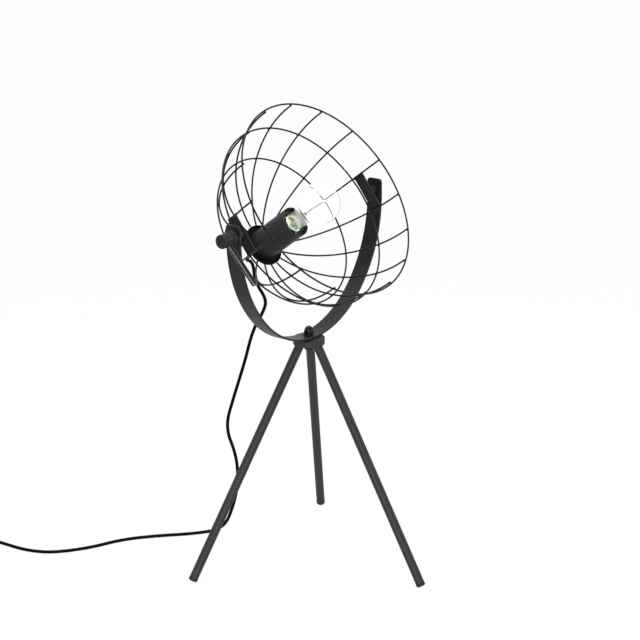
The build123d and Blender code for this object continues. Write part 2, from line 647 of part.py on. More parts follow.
def bulb_half(inset):
    """Half profile of the globe and neck, drawn inset by the glass wall for the inside."""
    radius = BULB_RADIUS - inset
    neck = BULB_NECK_RADIUS - inset
    reach = BULB_RADIUS + BULB_NECK_FILLET
    side = BULB_NECK_RADIUS + BULB_NECK_FILLET
    drop = sqrt(reach**2 - side**2)
    fillet_radius = BULB_NECK_FILLET + inset
    waist = BULB_CENTRE - drop
    join = (radius * side / reach, BULB_CENTRE - radius * drop / reach)
    swing = atan2(drop, side) / 2
    bend = (side - fillet_radius * cos(swing), waist + fillet_radius * sin(swing))
    top = (0, BULB_CENTRE + radius)
    shoulder_turn = (pi - acos(drop / reach)) / 2
    shoulder = (radius * sin(shoulder_turn), BULB_CENTRE + radius * cos(shoulder_turn))
    low = GLASS_END
    edges = [
        ThreePointArc(top, shoulder, join),
        ThreePointArc(join, bend, (neck, waist)),
        Line((neck, waist), (neck, low)),
        Line((neck, low), (0, low)),
        Line((0, low), top),
    ]
    return revolve(Plane.XZ * make_face(edges), Axis.Z)


def bulb_glass():
    return bulb_half(0) - bulb_half(GLASS_WALL)


def bulb_cap():
    """Screw cap: a plain collar, then ridges for the thread down to the insulator."""
    thread_top = BULB_CAP_FRONT - BULB_COLLAR_LENGTH
    mean = THREAD_MEAN_RADIUS
    inner = BULB_NECK_RADIUS + WELD_GAP
    bore = THREAD_ROOT_RADIUS - BULB_CAP_WALL
    edges = [
        Line((inner, BULB_CAP_FRONT), (BULB_COLLAR_RADIUS, BULB_CAP_FRONT)),
        Line((BULB_COLLAR_RADIUS, BULB_CAP_FRONT), (BULB_COLLAR_RADIUS, thread_top)),
        Line((BULB_COLLAR_RADIUS, thread_top), (mean, thread_top)),
    ]
    for i in range(THREAD_TURNS):
        high = thread_top - i * THREAD_PITCH
        corners = [(mean, high)]
        for radius, share in THREAD_CORNERS:
            corners.append((radius, high - share * THREAD_PITCH))
        corners.append((mean, high - THREAD_PITCH))
        edges += [Line(*pair) for pair in zip(corners, corners[1:])]
    step = GLASS_END - WELD_GAP
    edges += [
        Line((mean, THREAD_END), (bore, THREAD_END)),
        Line((bore, THREAD_END), (bore, step)),
        Line((bore, step), (inner, step)),
        Line((inner, step), (inner, BULB_CAP_FRONT)),
    ]
    return revolve(Plane.XZ * make_face(edges), Axis.Z)


def bulb_insulator():
    wide = THREAD_MEAN_RADIUS - BULB_CAP_WALL
    return taper(INSULATOR_TIP_RADIUS, wide, BULB_CONTACT_FRONT, THREAD_END)


def bulb_contact():
    return rod(BULB_CONTACT_RADIUS, BULB_END, BULB_CONTACT_FRONT)


def bulb_stem():
    """Pressed glass stem: a flare in the neck and a rod that holds the filament's leads."""
    seat = GLASS_END + GLASS_WALL
    flare_top = GLASS_END + STEM_FLARE_SHARE * STEM_LENGTH
    base = rod(BULB_NECK_RADIUS - GLASS_WALL - FIT, GLASS_END, seat)
    flare = taper(STEM_FLARE_RADIUS, STEM_RADIUS, seat, flare_top)
    return base + flare + rod(STEM_RADIUS, flare_top, STEM_TOP)


def lead_line(side):
    return Line((side * STEM_RADIUS / 2, 0, STEM_TOP + SLIDE_GAP), (side * LEAD_SPREAD, 0, LEAD_TOP))


def wire_along(path, radius):
    return sweep(Plane(origin=path @ 0, z_dir=path % 0) * Circle(radius), path=path)


def bulb_leads():
    return [wire_along(lead_line(side), LEAD_RADIUS) for side in (1, -1)]


def bulb_filament():
    """The wound filament, drawn as one arched wire between the tips of its leads."""
    high = LEAD_TOP + FILAMENT_RADIUS
    arch = ThreePointArc((-LEAD_SPREAD, 0, high), (0, 0, high + FILAMENT_RISE), (LEAD_SPREAD, 0, high))
    return wire_along(arch, FILAMENT_RADIUS)


# ---- Cord -----------------------------------------------------------------------------------

def bend_radii(points):
    """Radius at each corner of a route: as large as the shorter of its two runs allows."""
    radii = []
    for before, corner, after in zip(points, points[1:], points[2:]):
        run_in = Vector(*corner) - Vector(*before)
        run_out = Vector(*after) - Vector(*corner)
        shorter = min(run_in.length, run_out.length)
        half_turn = radians(run_in.get_angle(run_out)) / 2
        radii.append(CORD_BEND_SHARE * shorter / tan(half_turn))
    return radii


def cord(name, points):
    """A cord's tube along straight runs joined by tangent arcs; prints radii and volume share."""
    radii = bend_radii(points)
    path = FilletPolyline(*points, radius=radii)
    tube = wire_along(path, CORD_RADIUS)
    share = tube.volume / (pi * CORD_RADIUS**2 * path.length)
    print(name, "radii", [round(radius, 1) for radius in radii])
    print(name, "length", round(path.length, 1), "volume over section times length", round(share, 4))
    return tube


def split_route():
    """Cut the route at the middle of one straight run, for the two tubes that meet there."""
    before, after = Vector(*ROUTE[SPLIT_AFTER]), Vector(*ROUTE[SPLIT_AFTER + 1])
    middle = tuple((before + after) * 0.5)
    return ROUTE[: SPLIT_AFTER + 1] + [middle], [middle] + ROUTE[SPLIT_AFTER + 1:]


def cord_coil():
    half_wide = COIL_WIDE * CORD_DIAMETER / 2
    outer = COIL_MEAN_DIAMETER / 2 + half_wide
    hank = washer(outer, outer - 2 * half_wide, 0, COIL_HIGH * CORD_DIAMETER)
    return Pos(*COIL_CENTRE, 0) * fillet(hank.edges().filter_by(GeomType.CIRCLE), COIL_EDGE)


# ---- In-line switch -------------------------------------------------------------------------

def switch_frame():
    return Pos(*SWITCH_CENTRE, 0)


def switch_case():
    """Whole outside of the switch with its pocket, before it is parted into base and cover."""
    middle_z = SWITCH_HEIGHT / 2
    case = Pos(0, 0, middle_z) * Box(SWITCH_LENGTH, SWITCH_WIDTH, SWITCH_HEIGHT)
    case = fillet(case.edges().filter_by(Axis.Z), SWITCH_EDGE)
    for side in (1, -1):
        snout = taper(SNOUT_ROOT_RADIUS, SNOUT_TIP_RADIUS, 0, SWITCH_SNOUT)
        case += Pos(side * SWITCH_LENGTH / 2, 0, middle_z) * Rot(0, 90 * side, 0) * snout
    pocket = Box(POCKET_LENGTH, POCKET_WIDTH, SWITCH_HEIGHT, align=(Align.CENTER, Align.CENTER, Align.MIN))
    case -= Pos(0, 0, SWITCH_FLOOR) * pocket
    pivot = Cylinder(ROCKER_PIVOT_RADIUS + RUNNING, POCKET_WIDTH + 2 * ROCKER_PIVOT_REACH + 2 * SLIDE_GAP)
    case -= Pos(0, 0, ROCKER_PIVOT_Z) * Rot(90, 0, 0) * pivot
    for x in (-SWITCH_SCREW_OFFSET, SWITCH_SCREW_OFFSET):
        case -= Pos(x, 0, 0) * switch_screw(FIT)
    return case


def switch_screw(grow):
    head = rod(SWITCH_SCREW_HEAD_RADIUS + grow, -grow, SWITCH_FLOOR + grow)
    return head + rod(SWITCH_SCREW_RADIUS + grow, -grow, SWITCH_HEIGHT - SWITCH_FLOOR + grow)


def switch_half(low, high):
    block = Box(2 * SWITCH_LENGTH, 2 * SWITCH_WIDTH, high - low)
    return switch_case() & (Pos(0, 0, (low + high) / 2) * block)


def switch_rocker():
    """A see-saw key on stub axles, resting with one end down."""
    low = SWITCH_HEIGHT - ROCKER_PIVOT_Z
    rise = ROCKER_HALF_LENGTH * tan(radians(ROCKER_TILT_DEG))
    hub_low = -ROCKER_PIVOT_RADIUS - ROCKER_HUB_WALL
    outline = Polyline(
        (-ROCKER_HALF_LENGTH, low + rise),
        (0, low),
        (ROCKER_HALF_LENGTH, low + rise),
        (ROCKER_HALF_LENGTH - SLIDE_GAP, low - ROCKER_SKIRT),
        (ROCKER_HUB_HALF_WIDTH, hub_low),
        (-ROCKER_HUB_HALF_WIDTH, hub_low),
        (SLIDE_GAP - ROCKER_HALF_LENGTH, low - ROCKER_SKIRT),
        close=True,
    )
    width = POCKET_WIDTH - 2 * ROCKER_SIDE_GAP
    key = extrude(Plane.XZ * make_face(outline), width / 2, both=True)
    key += Rot(90, 0, 0) * Cylinder(ROCKER_PIVOT_RADIUS, POCKET_WIDTH + 2 * ROCKER_PIVOT_REACH)
    return Pos(0, 0, ROCKER_PIVOT_Z) * Rot(0, ROCKER_TILT_DEG, 0) * key


def switch_contacts():
    height = ROCKER_PIVOT_Z - ROCKER_PIVOT_RADIUS - BLADE_BELOW_PIVOT - SWITCH_FLOOR
    blade = Box(BLADE_THICKNESS, POCKET_WIDTH / 2, height, align=(Align.CENTER, Align.CENTER, Align.MIN))
    return [Pos(x, 0, SWITCH_FLOOR) * blade for x in (-BLADE_OFFSET, BLADE_OFFSET)]


# ---- Plug -----------------------------------------------------------------------------------

def plug_frame(shape):
    """Lay a shape drawn along local Z so that it runs along +Y from the relief's tip."""
    return Pos(PLUG_X, PLUG_RELIEF_Y, PLUG_Z) * Rot(-90, 0, 0) * shape


def plug_relief():
    return taper(PLUG_RELIEF_TIP_RADIUS, PLUG_RELIEF_ROOT_RADIUS, 0, PLUG_RELIEF_LENGTH)


def plug_body():
    middle = PLUG_RELIEF_LENGTH + PLUG_BODY_LENGTH / 2
    body = Pos(0, 0, middle) * Box(PLUG_BODY_WIDTH, PLUG_BODY_HEIGHT, PLUG_BODY_LENGTH)
    body = fillet(body.edges().filter_by(Axis.Z), PLUG_BODY_EDGE)
    for x in (-PIN_SPACING / 2, PIN_SPACING / 2):
        body -= Pos(x, 0, 0) * plug_pin(FIT)
    return body


def plug_pin(grow):
    """A round pin with a thicker root moulded into the body, flush with its face."""
    face = PLUG_RELIEF_LENGTH + PLUG_BODY_LENGTH
    root = rod(PIN_ROOT_RADIUS + grow, face - PIN_ROOT - grow, face)
    return root + rod(PIN_RADIUS, face, face + PIN_LENGTH)


# ---- Build ----------------------------------------------------------------------------------

def build_stand():
    frames = {
        "front": leg_plane(FIRST_LEG_DEG),
        "right": leg_plane(FIRST_LEG_DEG + 120),
        "left": leg_plane(FIRST_LEG_DEG - 120),
    }
    save("tripod_hub", tripod_hub(frames.values()))
    for name, frame in frames.items():
        save(f"leg_{name}", leg(frame))
        save(f"foot_cap_{name}", foot_cap(frame))
    save("leg_inserts", *[leg_insert(frame) for frame in frames.values()])
    save("leg_studs", *[leg_stud(frame) for frame in frames.values()])
    save("swivel_bolt", swivel_bolt())
    hole = BOLT_RADIUS + FIT
    nut_seat = YOKE_FLOOR_Z + WASHER_THICKNESS
    save("swivel_friction_washer", washer(FRICTION_WASHER_RADIUS, hole, HUB_TOP_Z, YOKE_UNDERSIDE_Z))
    save("swivel_top_washer", washer(SMALL_WASHER_RADIUS, hole, YOKE_FLOOR_Z, nut_seat))
    save("swivel_cap_nut", cap_nut(nut_seat))
    save("yoke", yoke())


def build_head():
    save("rim_ring", in_head(ring(RIM_POLAR_DEG)))
    save("middle_ring", in_head(ring(MIDDLE_RING_POLAR_DEG)))
    save("inner_ring", in_head(ring(INNER_RING_POLAR_DEG)))
    save("cage_wires", *[in_head(wire) for wire in cage_wires()])
    save_pivots()
    save("cage_cap", in_head(cage_cap()))
    save("holder_sleeve", in_head(holder_sleeve()))
    save("holder_nipple", in_head(holder_nipple()))
    save("holder_nut", in_head(holder_nut()))
    save("cord_gland", in_head(cord_gland()))
    save("lampholder_body", in_head(lampholder_body()))
    save("holder_shell", in_head(holder_shell()))
    save("holder_centre_contact", in_head(holder_centre_contact()))
    screws = [Pos(x, 0, 0) * terminal_screw(0) for x in (-TERMINAL_OFFSET, TERMINAL_OFFSET)]
    save("terminal_screws", *[in_head(screw) for screw in screws])
    save("knob_body", place_knob(knob_body() - knob_lever(FIT)))
    save("knob_lever", place_knob(knob_lever(0)))


def build_bulb():
    save("bulb_glass", in_head(bulb_glass()))
    save("bulb_cap", in_head(bulb_cap()))
    save("bulb_insulator", in_head(bulb_insulator()))
    save("bulb_contact", in_head(bulb_contact()))
    save("bulb_stem", in_head(bulb_stem()))
    save("bulb_leads", *[in_head(lead) for lead in bulb_leads()])
    save("bulb_filament", in_head(bulb_filament()))


def build_cord():
    upper, lower = split_route()
    save("cord_upper", cord("cord_upper", upper))
    save("cord_lower", cord("cord_lower", lower))
    save("cord_tail", cord("cord_tail", TAIL_ROUTE))
    save("plug_cord", cord("plug_cord", PLUG_ROUTE))
    save("cord_coil", cord_coil())
    save("switch_base", switch_frame() * switch_half(0, SWITCH_HEIGHT / 2))
    save("switch_cover", switch_frame() * switch_half(SWITCH_HEIGHT / 2, SWITCH_HEIGHT))
    save("switch_rocker", switch_frame() * switch_rocker())
    save("switch_contacts", *[switch_frame() * blade for blade in switch_contacts()])
    screws = [Pos(x, 0, 0) * switch_screw(0) for x in (-SWITCH_SCREW_OFFSET, SWITCH_SCREW_OFFSET)]
    save("switch_screws", *[switch_frame() * screw for screw in screws])
    save("plug_relief", plug_frame(plug_relief()))
    save("plug_body", plug_frame(plug_body()))
    save("plug_pins", *[plug_frame(Pos(x, 0, 0) * plug_pin(0)) for x in (-PIN_SPACING / 2, PIN_SPACING / 2)])


os.makedirs("parts", exist_ok=True)
build_stand()
build_head()
build_bulb()
build_cord()
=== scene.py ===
import json
from math import acos, asin, atan, atan2, cos, hypot, pi, radians, sin, sqrt

import bmesh
import bpy
from mathutils import Matrix, Vector


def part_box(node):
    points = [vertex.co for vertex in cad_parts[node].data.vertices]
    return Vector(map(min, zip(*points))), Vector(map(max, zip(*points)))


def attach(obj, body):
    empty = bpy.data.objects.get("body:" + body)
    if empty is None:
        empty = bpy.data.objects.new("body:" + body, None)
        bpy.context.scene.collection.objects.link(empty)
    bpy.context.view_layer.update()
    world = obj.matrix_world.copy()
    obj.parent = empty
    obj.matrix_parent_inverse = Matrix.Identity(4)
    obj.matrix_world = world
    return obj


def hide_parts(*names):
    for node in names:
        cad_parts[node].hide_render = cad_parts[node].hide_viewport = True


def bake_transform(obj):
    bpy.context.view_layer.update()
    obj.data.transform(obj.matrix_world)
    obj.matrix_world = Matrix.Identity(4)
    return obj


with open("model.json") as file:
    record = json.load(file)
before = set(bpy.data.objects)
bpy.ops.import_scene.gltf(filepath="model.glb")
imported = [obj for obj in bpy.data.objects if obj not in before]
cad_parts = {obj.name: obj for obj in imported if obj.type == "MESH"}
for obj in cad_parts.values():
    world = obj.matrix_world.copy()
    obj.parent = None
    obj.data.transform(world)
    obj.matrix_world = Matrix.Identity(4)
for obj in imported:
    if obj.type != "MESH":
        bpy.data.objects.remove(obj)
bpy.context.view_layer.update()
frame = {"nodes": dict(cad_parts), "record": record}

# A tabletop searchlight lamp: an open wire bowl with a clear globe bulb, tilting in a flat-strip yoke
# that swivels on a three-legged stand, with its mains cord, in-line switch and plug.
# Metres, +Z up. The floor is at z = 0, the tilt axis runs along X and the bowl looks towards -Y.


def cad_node(name):
    """The Blender object of a CAD node."""
    return frame["nodes"][name]


def box_centre(node):
    low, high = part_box(node)
    return (low + high) / 2


# ---- Places ----

LIGHT_ELEVATION = radians(36.89)
TILT_Z = box_centre("tilt_stud_left").z
# The head's own frame: x along the tilt axis, z along the light, from the tilt axis
HEAD = Matrix.Translation((0, 0, TILT_Z)) @ Matrix.Rotation(pi / 2 - LIGHT_ELEVATION, 4, "X")
# The two ends of the tilt axis: local z points outwards, to +X and to -X
RIGHT_END = Matrix.Translation((0, 0, TILT_Z)) @ Matrix.Rotation(pi / 2, 4, "Y")
LEFT_END = Matrix.Translation((0, 0, TILT_Z)) @ Matrix.Rotation(-pi / 2, 4, "Y")
UPRIGHT = Matrix.Identity(4)

# ---- Camera ----

IMAGE_SIZE = 640
FOCAL_PIXELS = 1854.05
CAMERA_PLACE = Vector((-1.98309, -1.56585, 1.20953))
CAMERA_TARGET = Vector((0.00997, -0.01279, 0.37248))
CAMERA_ROLL = radians(-0.575)
CAMERA_REACH = 60


def new_object(name, data):
    """An object of some data, linked into the scene."""
    made = bpy.data.objects.new(name, data)
    bpy.context.collection.objects.link(made)
    return made


def aimed(place, target):
    """A placement that looks down its own -z at a target, with its y upwards."""
    aim = (target - Vector(place)).to_track_quat("-Z", "Y").to_matrix().to_4x4()
    return Matrix.Translation(place) @ aim


def make_camera():
    data = bpy.data.cameras.new("camera")
    data.sensor_fit = "HORIZONTAL"
    data.angle = 2 * atan(IMAGE_SIZE / 2 / FOCAL_PIXELS)
    data.clip_end = CAMERA_REACH
    camera = new_object("camera", data)
    camera.matrix_world = aimed(CAMERA_PLACE, CAMERA_TARGET) @ Matrix.Rotation(CAMERA_ROLL, 4, "Z")
    bpy.context.scene.camera = camera


# ---- Shaping ----

SHARP_ANGLE = radians(35)
MERGE_DISTANCE = 0.000002
SAME_PLACE = 1e-5
NUT_FLATS = 0.013
NUT_CHAMFER = 0.0009
X_AXIS = Vector((1, 0, 0))
Z_AXIS = Vector((0, 0, 1))


def add_piece(name, source, finish, node, body=None, flat=True):
    """Make an object of a bmesh, smooth but for its sharp edges, in place of a node."""
    mesh = bpy.data.meshes.new(name)
    source.to_mesh(mesh)
    source.free()
    mesh.shade_smooth()
    mesh.set_sharp_from_angle(angle=SHARP_ANGLE)
    mesh.materials.append(FINISHES[finish])
    piece = new_object(name, mesh)
    if flat:
        piece.modifiers.new("flat_faces", "WEIGHTED_NORMAL").keep_sharp = True
    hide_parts(node)
    if body:
        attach(piece, body)
    return piece


def verts_of(parts):
    return [part for part in parts if isinstance(part, bmesh.types.BMVert)]


def edges_of(parts):
    return [part for part in parts if isinstance(part, bmesh.types.BMEdge)]


def open_edges(body):
    return [edge for edge in body.edges if edge.is_boundary]


def bevel(body, edges, width, segments, affect="EDGES"):
    bmesh.ops.bevel(
        body, geom=edges, offset=width, segments=segments, profile=0.5, affect=affect, clamp_overlap=True
    )


def soften(body, width, angle=30, segments=2):
    """Round every edge sharper than an angle in degrees."""
    inner = [edge for edge in body.edges if len(edge.link_faces) == 2]
    bevel(body, [edge for edge in inner if edge.calc_face_angle() > radians(angle)], width, segments)


def close_up(body):
    """Merge what meets and turn every face outwards."""
    bmesh.ops.remove_doubles(body, verts=body.verts, dist=MERGE_DISTANCE)
    bmesh.ops.recalc_face_normals(body, faces=body.faces)


def spun_round(body, parts, steps):
    """Spin a line or a section all the way round local z."""
    bmesh.ops.spin(
        body, geom=parts, cent=(0, 0, 0), axis=Z_AXIS, angle=2 * pi, steps=steps, use_merge=True
    )
    close_up(body)


def band(inner, outer, low, high):
    """The profile of a washer or a plain tube."""
    return [(inner, low), (outer, low), (outer, high), (inner, high)]


def turned(profile, place, rounds=(), soft=0.0002, ring=False, steps=72, body=None):
    """Turn a profile of (radius, height) about local z; rounds lists (radius, height, width) edges."""
    piece = bmesh.new()
    points = [piece.verts.new((radius, 0, height)) for radius, height in profile]
    pairs = list(zip(points, points[1:]))
    if ring:
        pairs.append((points[-1], points[0]))
    line = [piece.edges.new(pair) for pair in pairs]
    spun_round(piece, points + line, steps)
    for radius, height, width in rounds:
        def on_circle(vert):
            return hypot(hypot(vert.co.x, vert.co.y) - radius, vert.co.z - height) < SAME_PLACE

        bevel(piece, [edge for edge in piece.edges if all(map(on_circle, edge.verts))], width, 5)
    if soft:
        soften(piece, soft)
    piece.transform(place)
    return piece if body is None else joined(body, piece)


def joined(body, extra):
    """Add one bmesh to another."""
    mesh = bpy.data.meshes.new("joining")
    extra.to_mesh(mesh)
    extra.free()
    body.from_mesh(mesh)
    bpy.data.meshes.remove(mesh)
    return body


def block(size, centre):
    """A box of a size and centre, to be shaped further."""
    body = bmesh.new()
    bmesh.ops.create_cube(body, size=1, matrix=Matrix.Translation(centre) @ Matrix.Diagonal((*size, 1)))
    return body


def edges_along(body, direction):
    """The straight edges that run along a direction."""
    return [e for e in body.edges if abs((e.verts[1].co - e.verts[0].co).normalized().dot(direction)) > 0.999]


def spun_on(body, loop, centre, angle, steps):
    """Carry a section on round an arc in the local xz plane; returns the section at its end."""
    return bmesh.ops.spin(body, geom=loop, cent=centre, axis=(0, 1, 0), angle=angle, steps=steps)["geom_last"]


def bead(body, place, radii):
    """A drop of weld metal, flattened to three radii."""
    bmesh.ops.create_icosphere(body, subdivisions=2, radius=1, matrix=place @ Matrix.Diagonal((*radii, 1)))


def hexagon_nut(low, high, place):
    """A hexagon with its corners chamfered at both faces."""
    nut = bmesh.new()
    bmesh.ops.create_circle(nut, cap_ends=True, segments=6, radius=NUT_FLATS / sqrt(3))
    bmesh.ops.translate(nut, verts=nut.verts, vec=(0, 0, low))
    raised = bmesh.ops.extrude_face_region(nut, geom=nut.faces[:])["geom"]
    bmesh.ops.translate(nut, verts=verts_of(raised), vec=(0, 0, high - low))
    close_up(nut)
    bevel(nut, nut.verts[:], NUT_CHAMFER, 1, "VERTICES")
    soften(nut, 0.00018, 20)
    nut.transform(place)
    return nut


def softened(name, node, finish, body, width, angle=30):
    """A copy of a node's mesh, merged, its flat faces joined up and its edges rounded."""
    copy = bmesh.new()
    copy.from_mesh(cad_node(node).data)
    bmesh.ops.remove_doubles(copy, verts=copy.verts, dist=MERGE_DISTANCE)
    bmesh.ops.dissolve_limit(copy, angle_limit=radians(0.5), verts=copy.verts, edges=copy.edges)
    soften(copy, width, angle)
    return add_piece(name, copy, finish, node, body)


# ---- Stand ----

HUB_LOW = 0.337
HUB_HIGH = 0.347
HUB_RADIUS = 0.022997
LEG_RADIUS = 0.0065
LEG_BORE = 0.005
LEG_TILT = radians(27.95)
LEG_OUT = 0.014498
LEG_TURNS = {"front": radians(3.6), "right": radians(123.6), "left": radians(-116.4)}
LEG_SPARE = 0.02
FOOT_RADIUS = 0.0067
FOOT_HEAD = 0.005
FOOT_ROUND = 0.002
FOOT_STEM_RADIUS = 0.0049
FOOT_STEM_LENGTH = 0.012
FOOT_GROOVE = 0.00025
YOKE_FLOOR = 0.351
NUT_SEAT = 0.352
NUT_HEX_TOP = 0.358
NUT_DOME = 0.006
DOME_STEP = 12
WASHER_RADIUS = 0.008
BOLT_HOLE = 0.0042
FRICTION_RADIUS = 0.012
FRICTION_TOP = 0.348


def leg_frame(turn):
    """Local z runs down the leg from the middle of its top in the hub's underside."""
    out = Vector((sin(turn), -cos(turn), 0))
    down = out * sin(LEG_TILT) - Vector((0, 0, cos(LEG_TILT)))
    side = Vector((-out.y, out.x, 0))
    axes = Matrix((side, down.cross(side), down)).transposed().to_4x4()
    return Matrix.Translation(out * LEG_OUT + Vector((0, 0, HUB_LOW))) @ axes


def leg_length():
    """Down to where the rounded edge of the foot cap touches the floor."""
    flat = FOOT_RADIUS - FOOT_ROUND
    rise = flat * sin(LEG_TILT) + FOOT_ROUND * (1 - cos(LEG_TILT))
    return (HUB_LOW - rise) / cos(LEG_TILT)


def leg_tube(place, length):
    """A tube made with some length to spare, then cut level with the hub's underside."""
    wall = band(LEG_BORE, LEG_RADIUS, -LEG_SPARE, length - FOOT_HEAD)
    tube = turned(wall, place, ring=True, steps=40)
    parts = tube.verts[:] + tube.edges[:] + tube.faces[:]
    bmesh.ops.bisect_plane(tube, geom=parts, plane_co=(0, 0, HUB_LOW), plane_no=Z_AXIS, clear_outer=True)
    bmesh.ops.bridge_loops(tube, edges=open_edges(tube))
    bmesh.ops.recalc_face_normals(tube, faces=tube.faces)
    return tube


def foot_cap(place, length):
    """A stem in the leg and a head with a rounded end and a shallow groove under the leg."""
    head = length - FOOT_HEAD
    stem_end = head - FOOT_STEM_LENGTH
    groove = FOOT_RADIUS - FOOT_GROOVE
    profile = [(0, stem_end), (FOOT_STEM_RADIUS, stem_end), (FOOT_STEM_RADIUS, head), (FOOT_RADIUS, head)]
    profile += [(FOOT_RADIUS, head + 0.0010), (groove, head + 0.0013), (groove, head + 0.0016)]
    profile += [(FOOT_RADIUS, head + 0.0019), (FOOT_RADIUS, length), (0, length)]
    return turned(profile, place, rounds=[(FOOT_RADIUS, length, 0.00205)], soft=0.0001, steps=40)


def make_stand():
    """Hub, legs and feet, and what the swivel bolt holds but for the yoke."""
    hub = [(0, HUB_LOW), (HUB_RADIUS, HUB_LOW), (HUB_RADIUS, HUB_HIGH), (0, HUB_HIGH)]
    rounds = [(HUB_RADIUS, HUB_LOW, 0.0008), (HUB_RADIUS, HUB_HIGH, 0.0015)]
    disc = turned(hub, UPRIGHT, rounds, 0)
    add_piece("hub_disc", disc, "leg_coat", "tripod_hub", "stand")
    length = leg_length()
    for side, turn in LEG_TURNS.items():
        place = leg_frame(turn)
        tube = leg_tube(place, length)
        add_piece(f"leg_tube_{side}", tube, "leg_coat", f"leg_{side}", "stand")
        cap = foot_cap(place, length)
        add_piece(f"foot_{side}", cap, "foot_rubber", f"foot_cap_{side}", "stand")
    nut = hexagon_nut(NUT_SEAT, NUT_HEX_TOP, UPRIGHT)
    dome = [(NUT_DOME, NUT_HEX_TOP - 0.0002), (NUT_DOME, NUT_HEX_TOP + 0.0003)]
    for degrees in range(DOME_STEP, 90, DOME_STEP):
        rise = radians(degrees)
        dome.append((NUT_DOME * cos(rise), NUT_HEX_TOP + NUT_DOME * sin(rise)))
    dome.append((0, NUT_HEX_TOP + NUT_DOME))
    turned(dome, UPRIGHT, soft=0, body=nut)
    add_piece("domed_nut", nut, "blackened_steel", "swivel_cap_nut", "stand")
    top_washer = turned(band(BOLT_HOLE, WASHER_RADIUS, YOKE_FLOOR, NUT_SEAT), UPRIGHT, ring=True)
    add_piece("nut_washer", top_washer, "blackened_steel", "swivel_top_washer", "stand")
    friction = turned(band(BOLT_HOLE, FRICTION_RADIUS, HUB_HIGH, FRICTION_TOP), UPRIGHT, ring=True)
    add_piece("friction_disc", friction, "black_plastic", "swivel_friction_washer", "stand")
    softened("hub_bolt", "swivel_bolt", "blackened_steel", "stand", 0.0003)


# ---- Yoke ----

YOKE_HALF_GAP = 0.159111
YOKE_THICKNESS = 0.003
YOKE_WIDTH = 0.025
YOKE_TOP = 0.5495
YOKE_CORNER = 0.005
SIDE_CENTRE = Vector((-0.026889, 0, 0.525863))
FLOOR_CENTRE = Vector((0, 0, 0.498974))


def yoke_strip():
    """A flat bar carried down one arm, round the bottom and up the other, with rounded ends."""
    strip = bmesh.new()
    inner, outer, half = YOKE_HALF_GAP, YOKE_HALF_GAP + YOKE_THICKNESS, YOKE_WIDTH / 2
    section = ((inner, -half), (outer, -half), (outer, half), (inner, half))
    corners = [strip.verts.new((x, y, YOKE_TOP)) for x, y in section]
    edges = [strip.edges.new(pair) for pair in zip(corners, corners[1:] + corners[:1])]
    left_centre = Vector((-SIDE_CENTRE.x, 0, SIDE_CENTRE.z))
    grown = bmesh.ops.extrude_edge_only(strip, edges=edges)["geom"]
    bmesh.ops.translate(strip, verts=verts_of(grown), vec=(0, 0, SIDE_CENTRE.z - YOKE_TOP))
    bends = ((SIDE_CENTRE, pi / 4, 22), (FLOOR_CENTRE, pi / 2, 44), (left_centre, pi / 4, 22))
    for centre, angle, steps in bends:
        edges = edges_of(grown)
        loop = edges + list({vert for edge in edges for vert in edge.verts})
        grown = spun_on(strip, loop, centre, angle, steps)
    grown = bmesh.ops.extrude_edge_only(strip, edges=edges_of(grown))["geom"]
    bmesh.ops.translate(strip, verts=verts_of(grown), vec=(0, 0, YOKE_TOP - SIDE_CENTRE.z))
    bmesh.ops.holes_fill(strip, edges=open_edges(strip), sides=4)
    close_up(strip)
    across = edges_along(strip, X_AXIS)
    bevel(strip, [edge for edge in across if edge.verts[0].co.z > YOKE_TOP - SAME_PLACE], YOKE_CORNER, 8)
    soften(strip, 0.00045, 40, 3)
    return strip


def make_yoke():
    add_piece("yoke_strip", yoke_strip(), "yoke_coat", "yoke", "yoke")


# ---- Bowl ----

WIRE_RADIUS = 0.00125
WIRE_COUNT = 16
WIRE_SIDES = 12
SPHERE_AHEAD = 0.038
WIRE_SPHERE = 0.14665
RING_SPHERE = 0.1492
RING_PLACES = {"rim_ring": 0.0455, "middle_ring": -0.01005, "inner_ring": -0.055285}
WIRE_START_POLAR = radians(93.272)
WIRE_LEAVES_SPHERE = radians(51.3)
WIRE_END = Vector((0.031819, 0, -0.101427))
PLATE_X = 0.142242
PLATE_THICKNESS = 0.002
PLATE_WIDTH = 0.0175
PLATE_LENGTH = 0.058
PLATE_CORNER = 0.004
# Half sizes of the drops of weld
CROSSING_WELD = (0.0009, 0.0019, 0.0019)
BUTT_WELD = (0.0009, 0.00145, 0.00145)
PLATE_WELD = (0.0012, 0.0021, 0.0028)


def on_sphere(radius, polar):
    """Place in the head's frame at an angle from the bowl's back pole, in the xz plane."""
    return Vector((radius * sin(polar), 0, SPHERE_AHEAD - radius * cos(polar)))


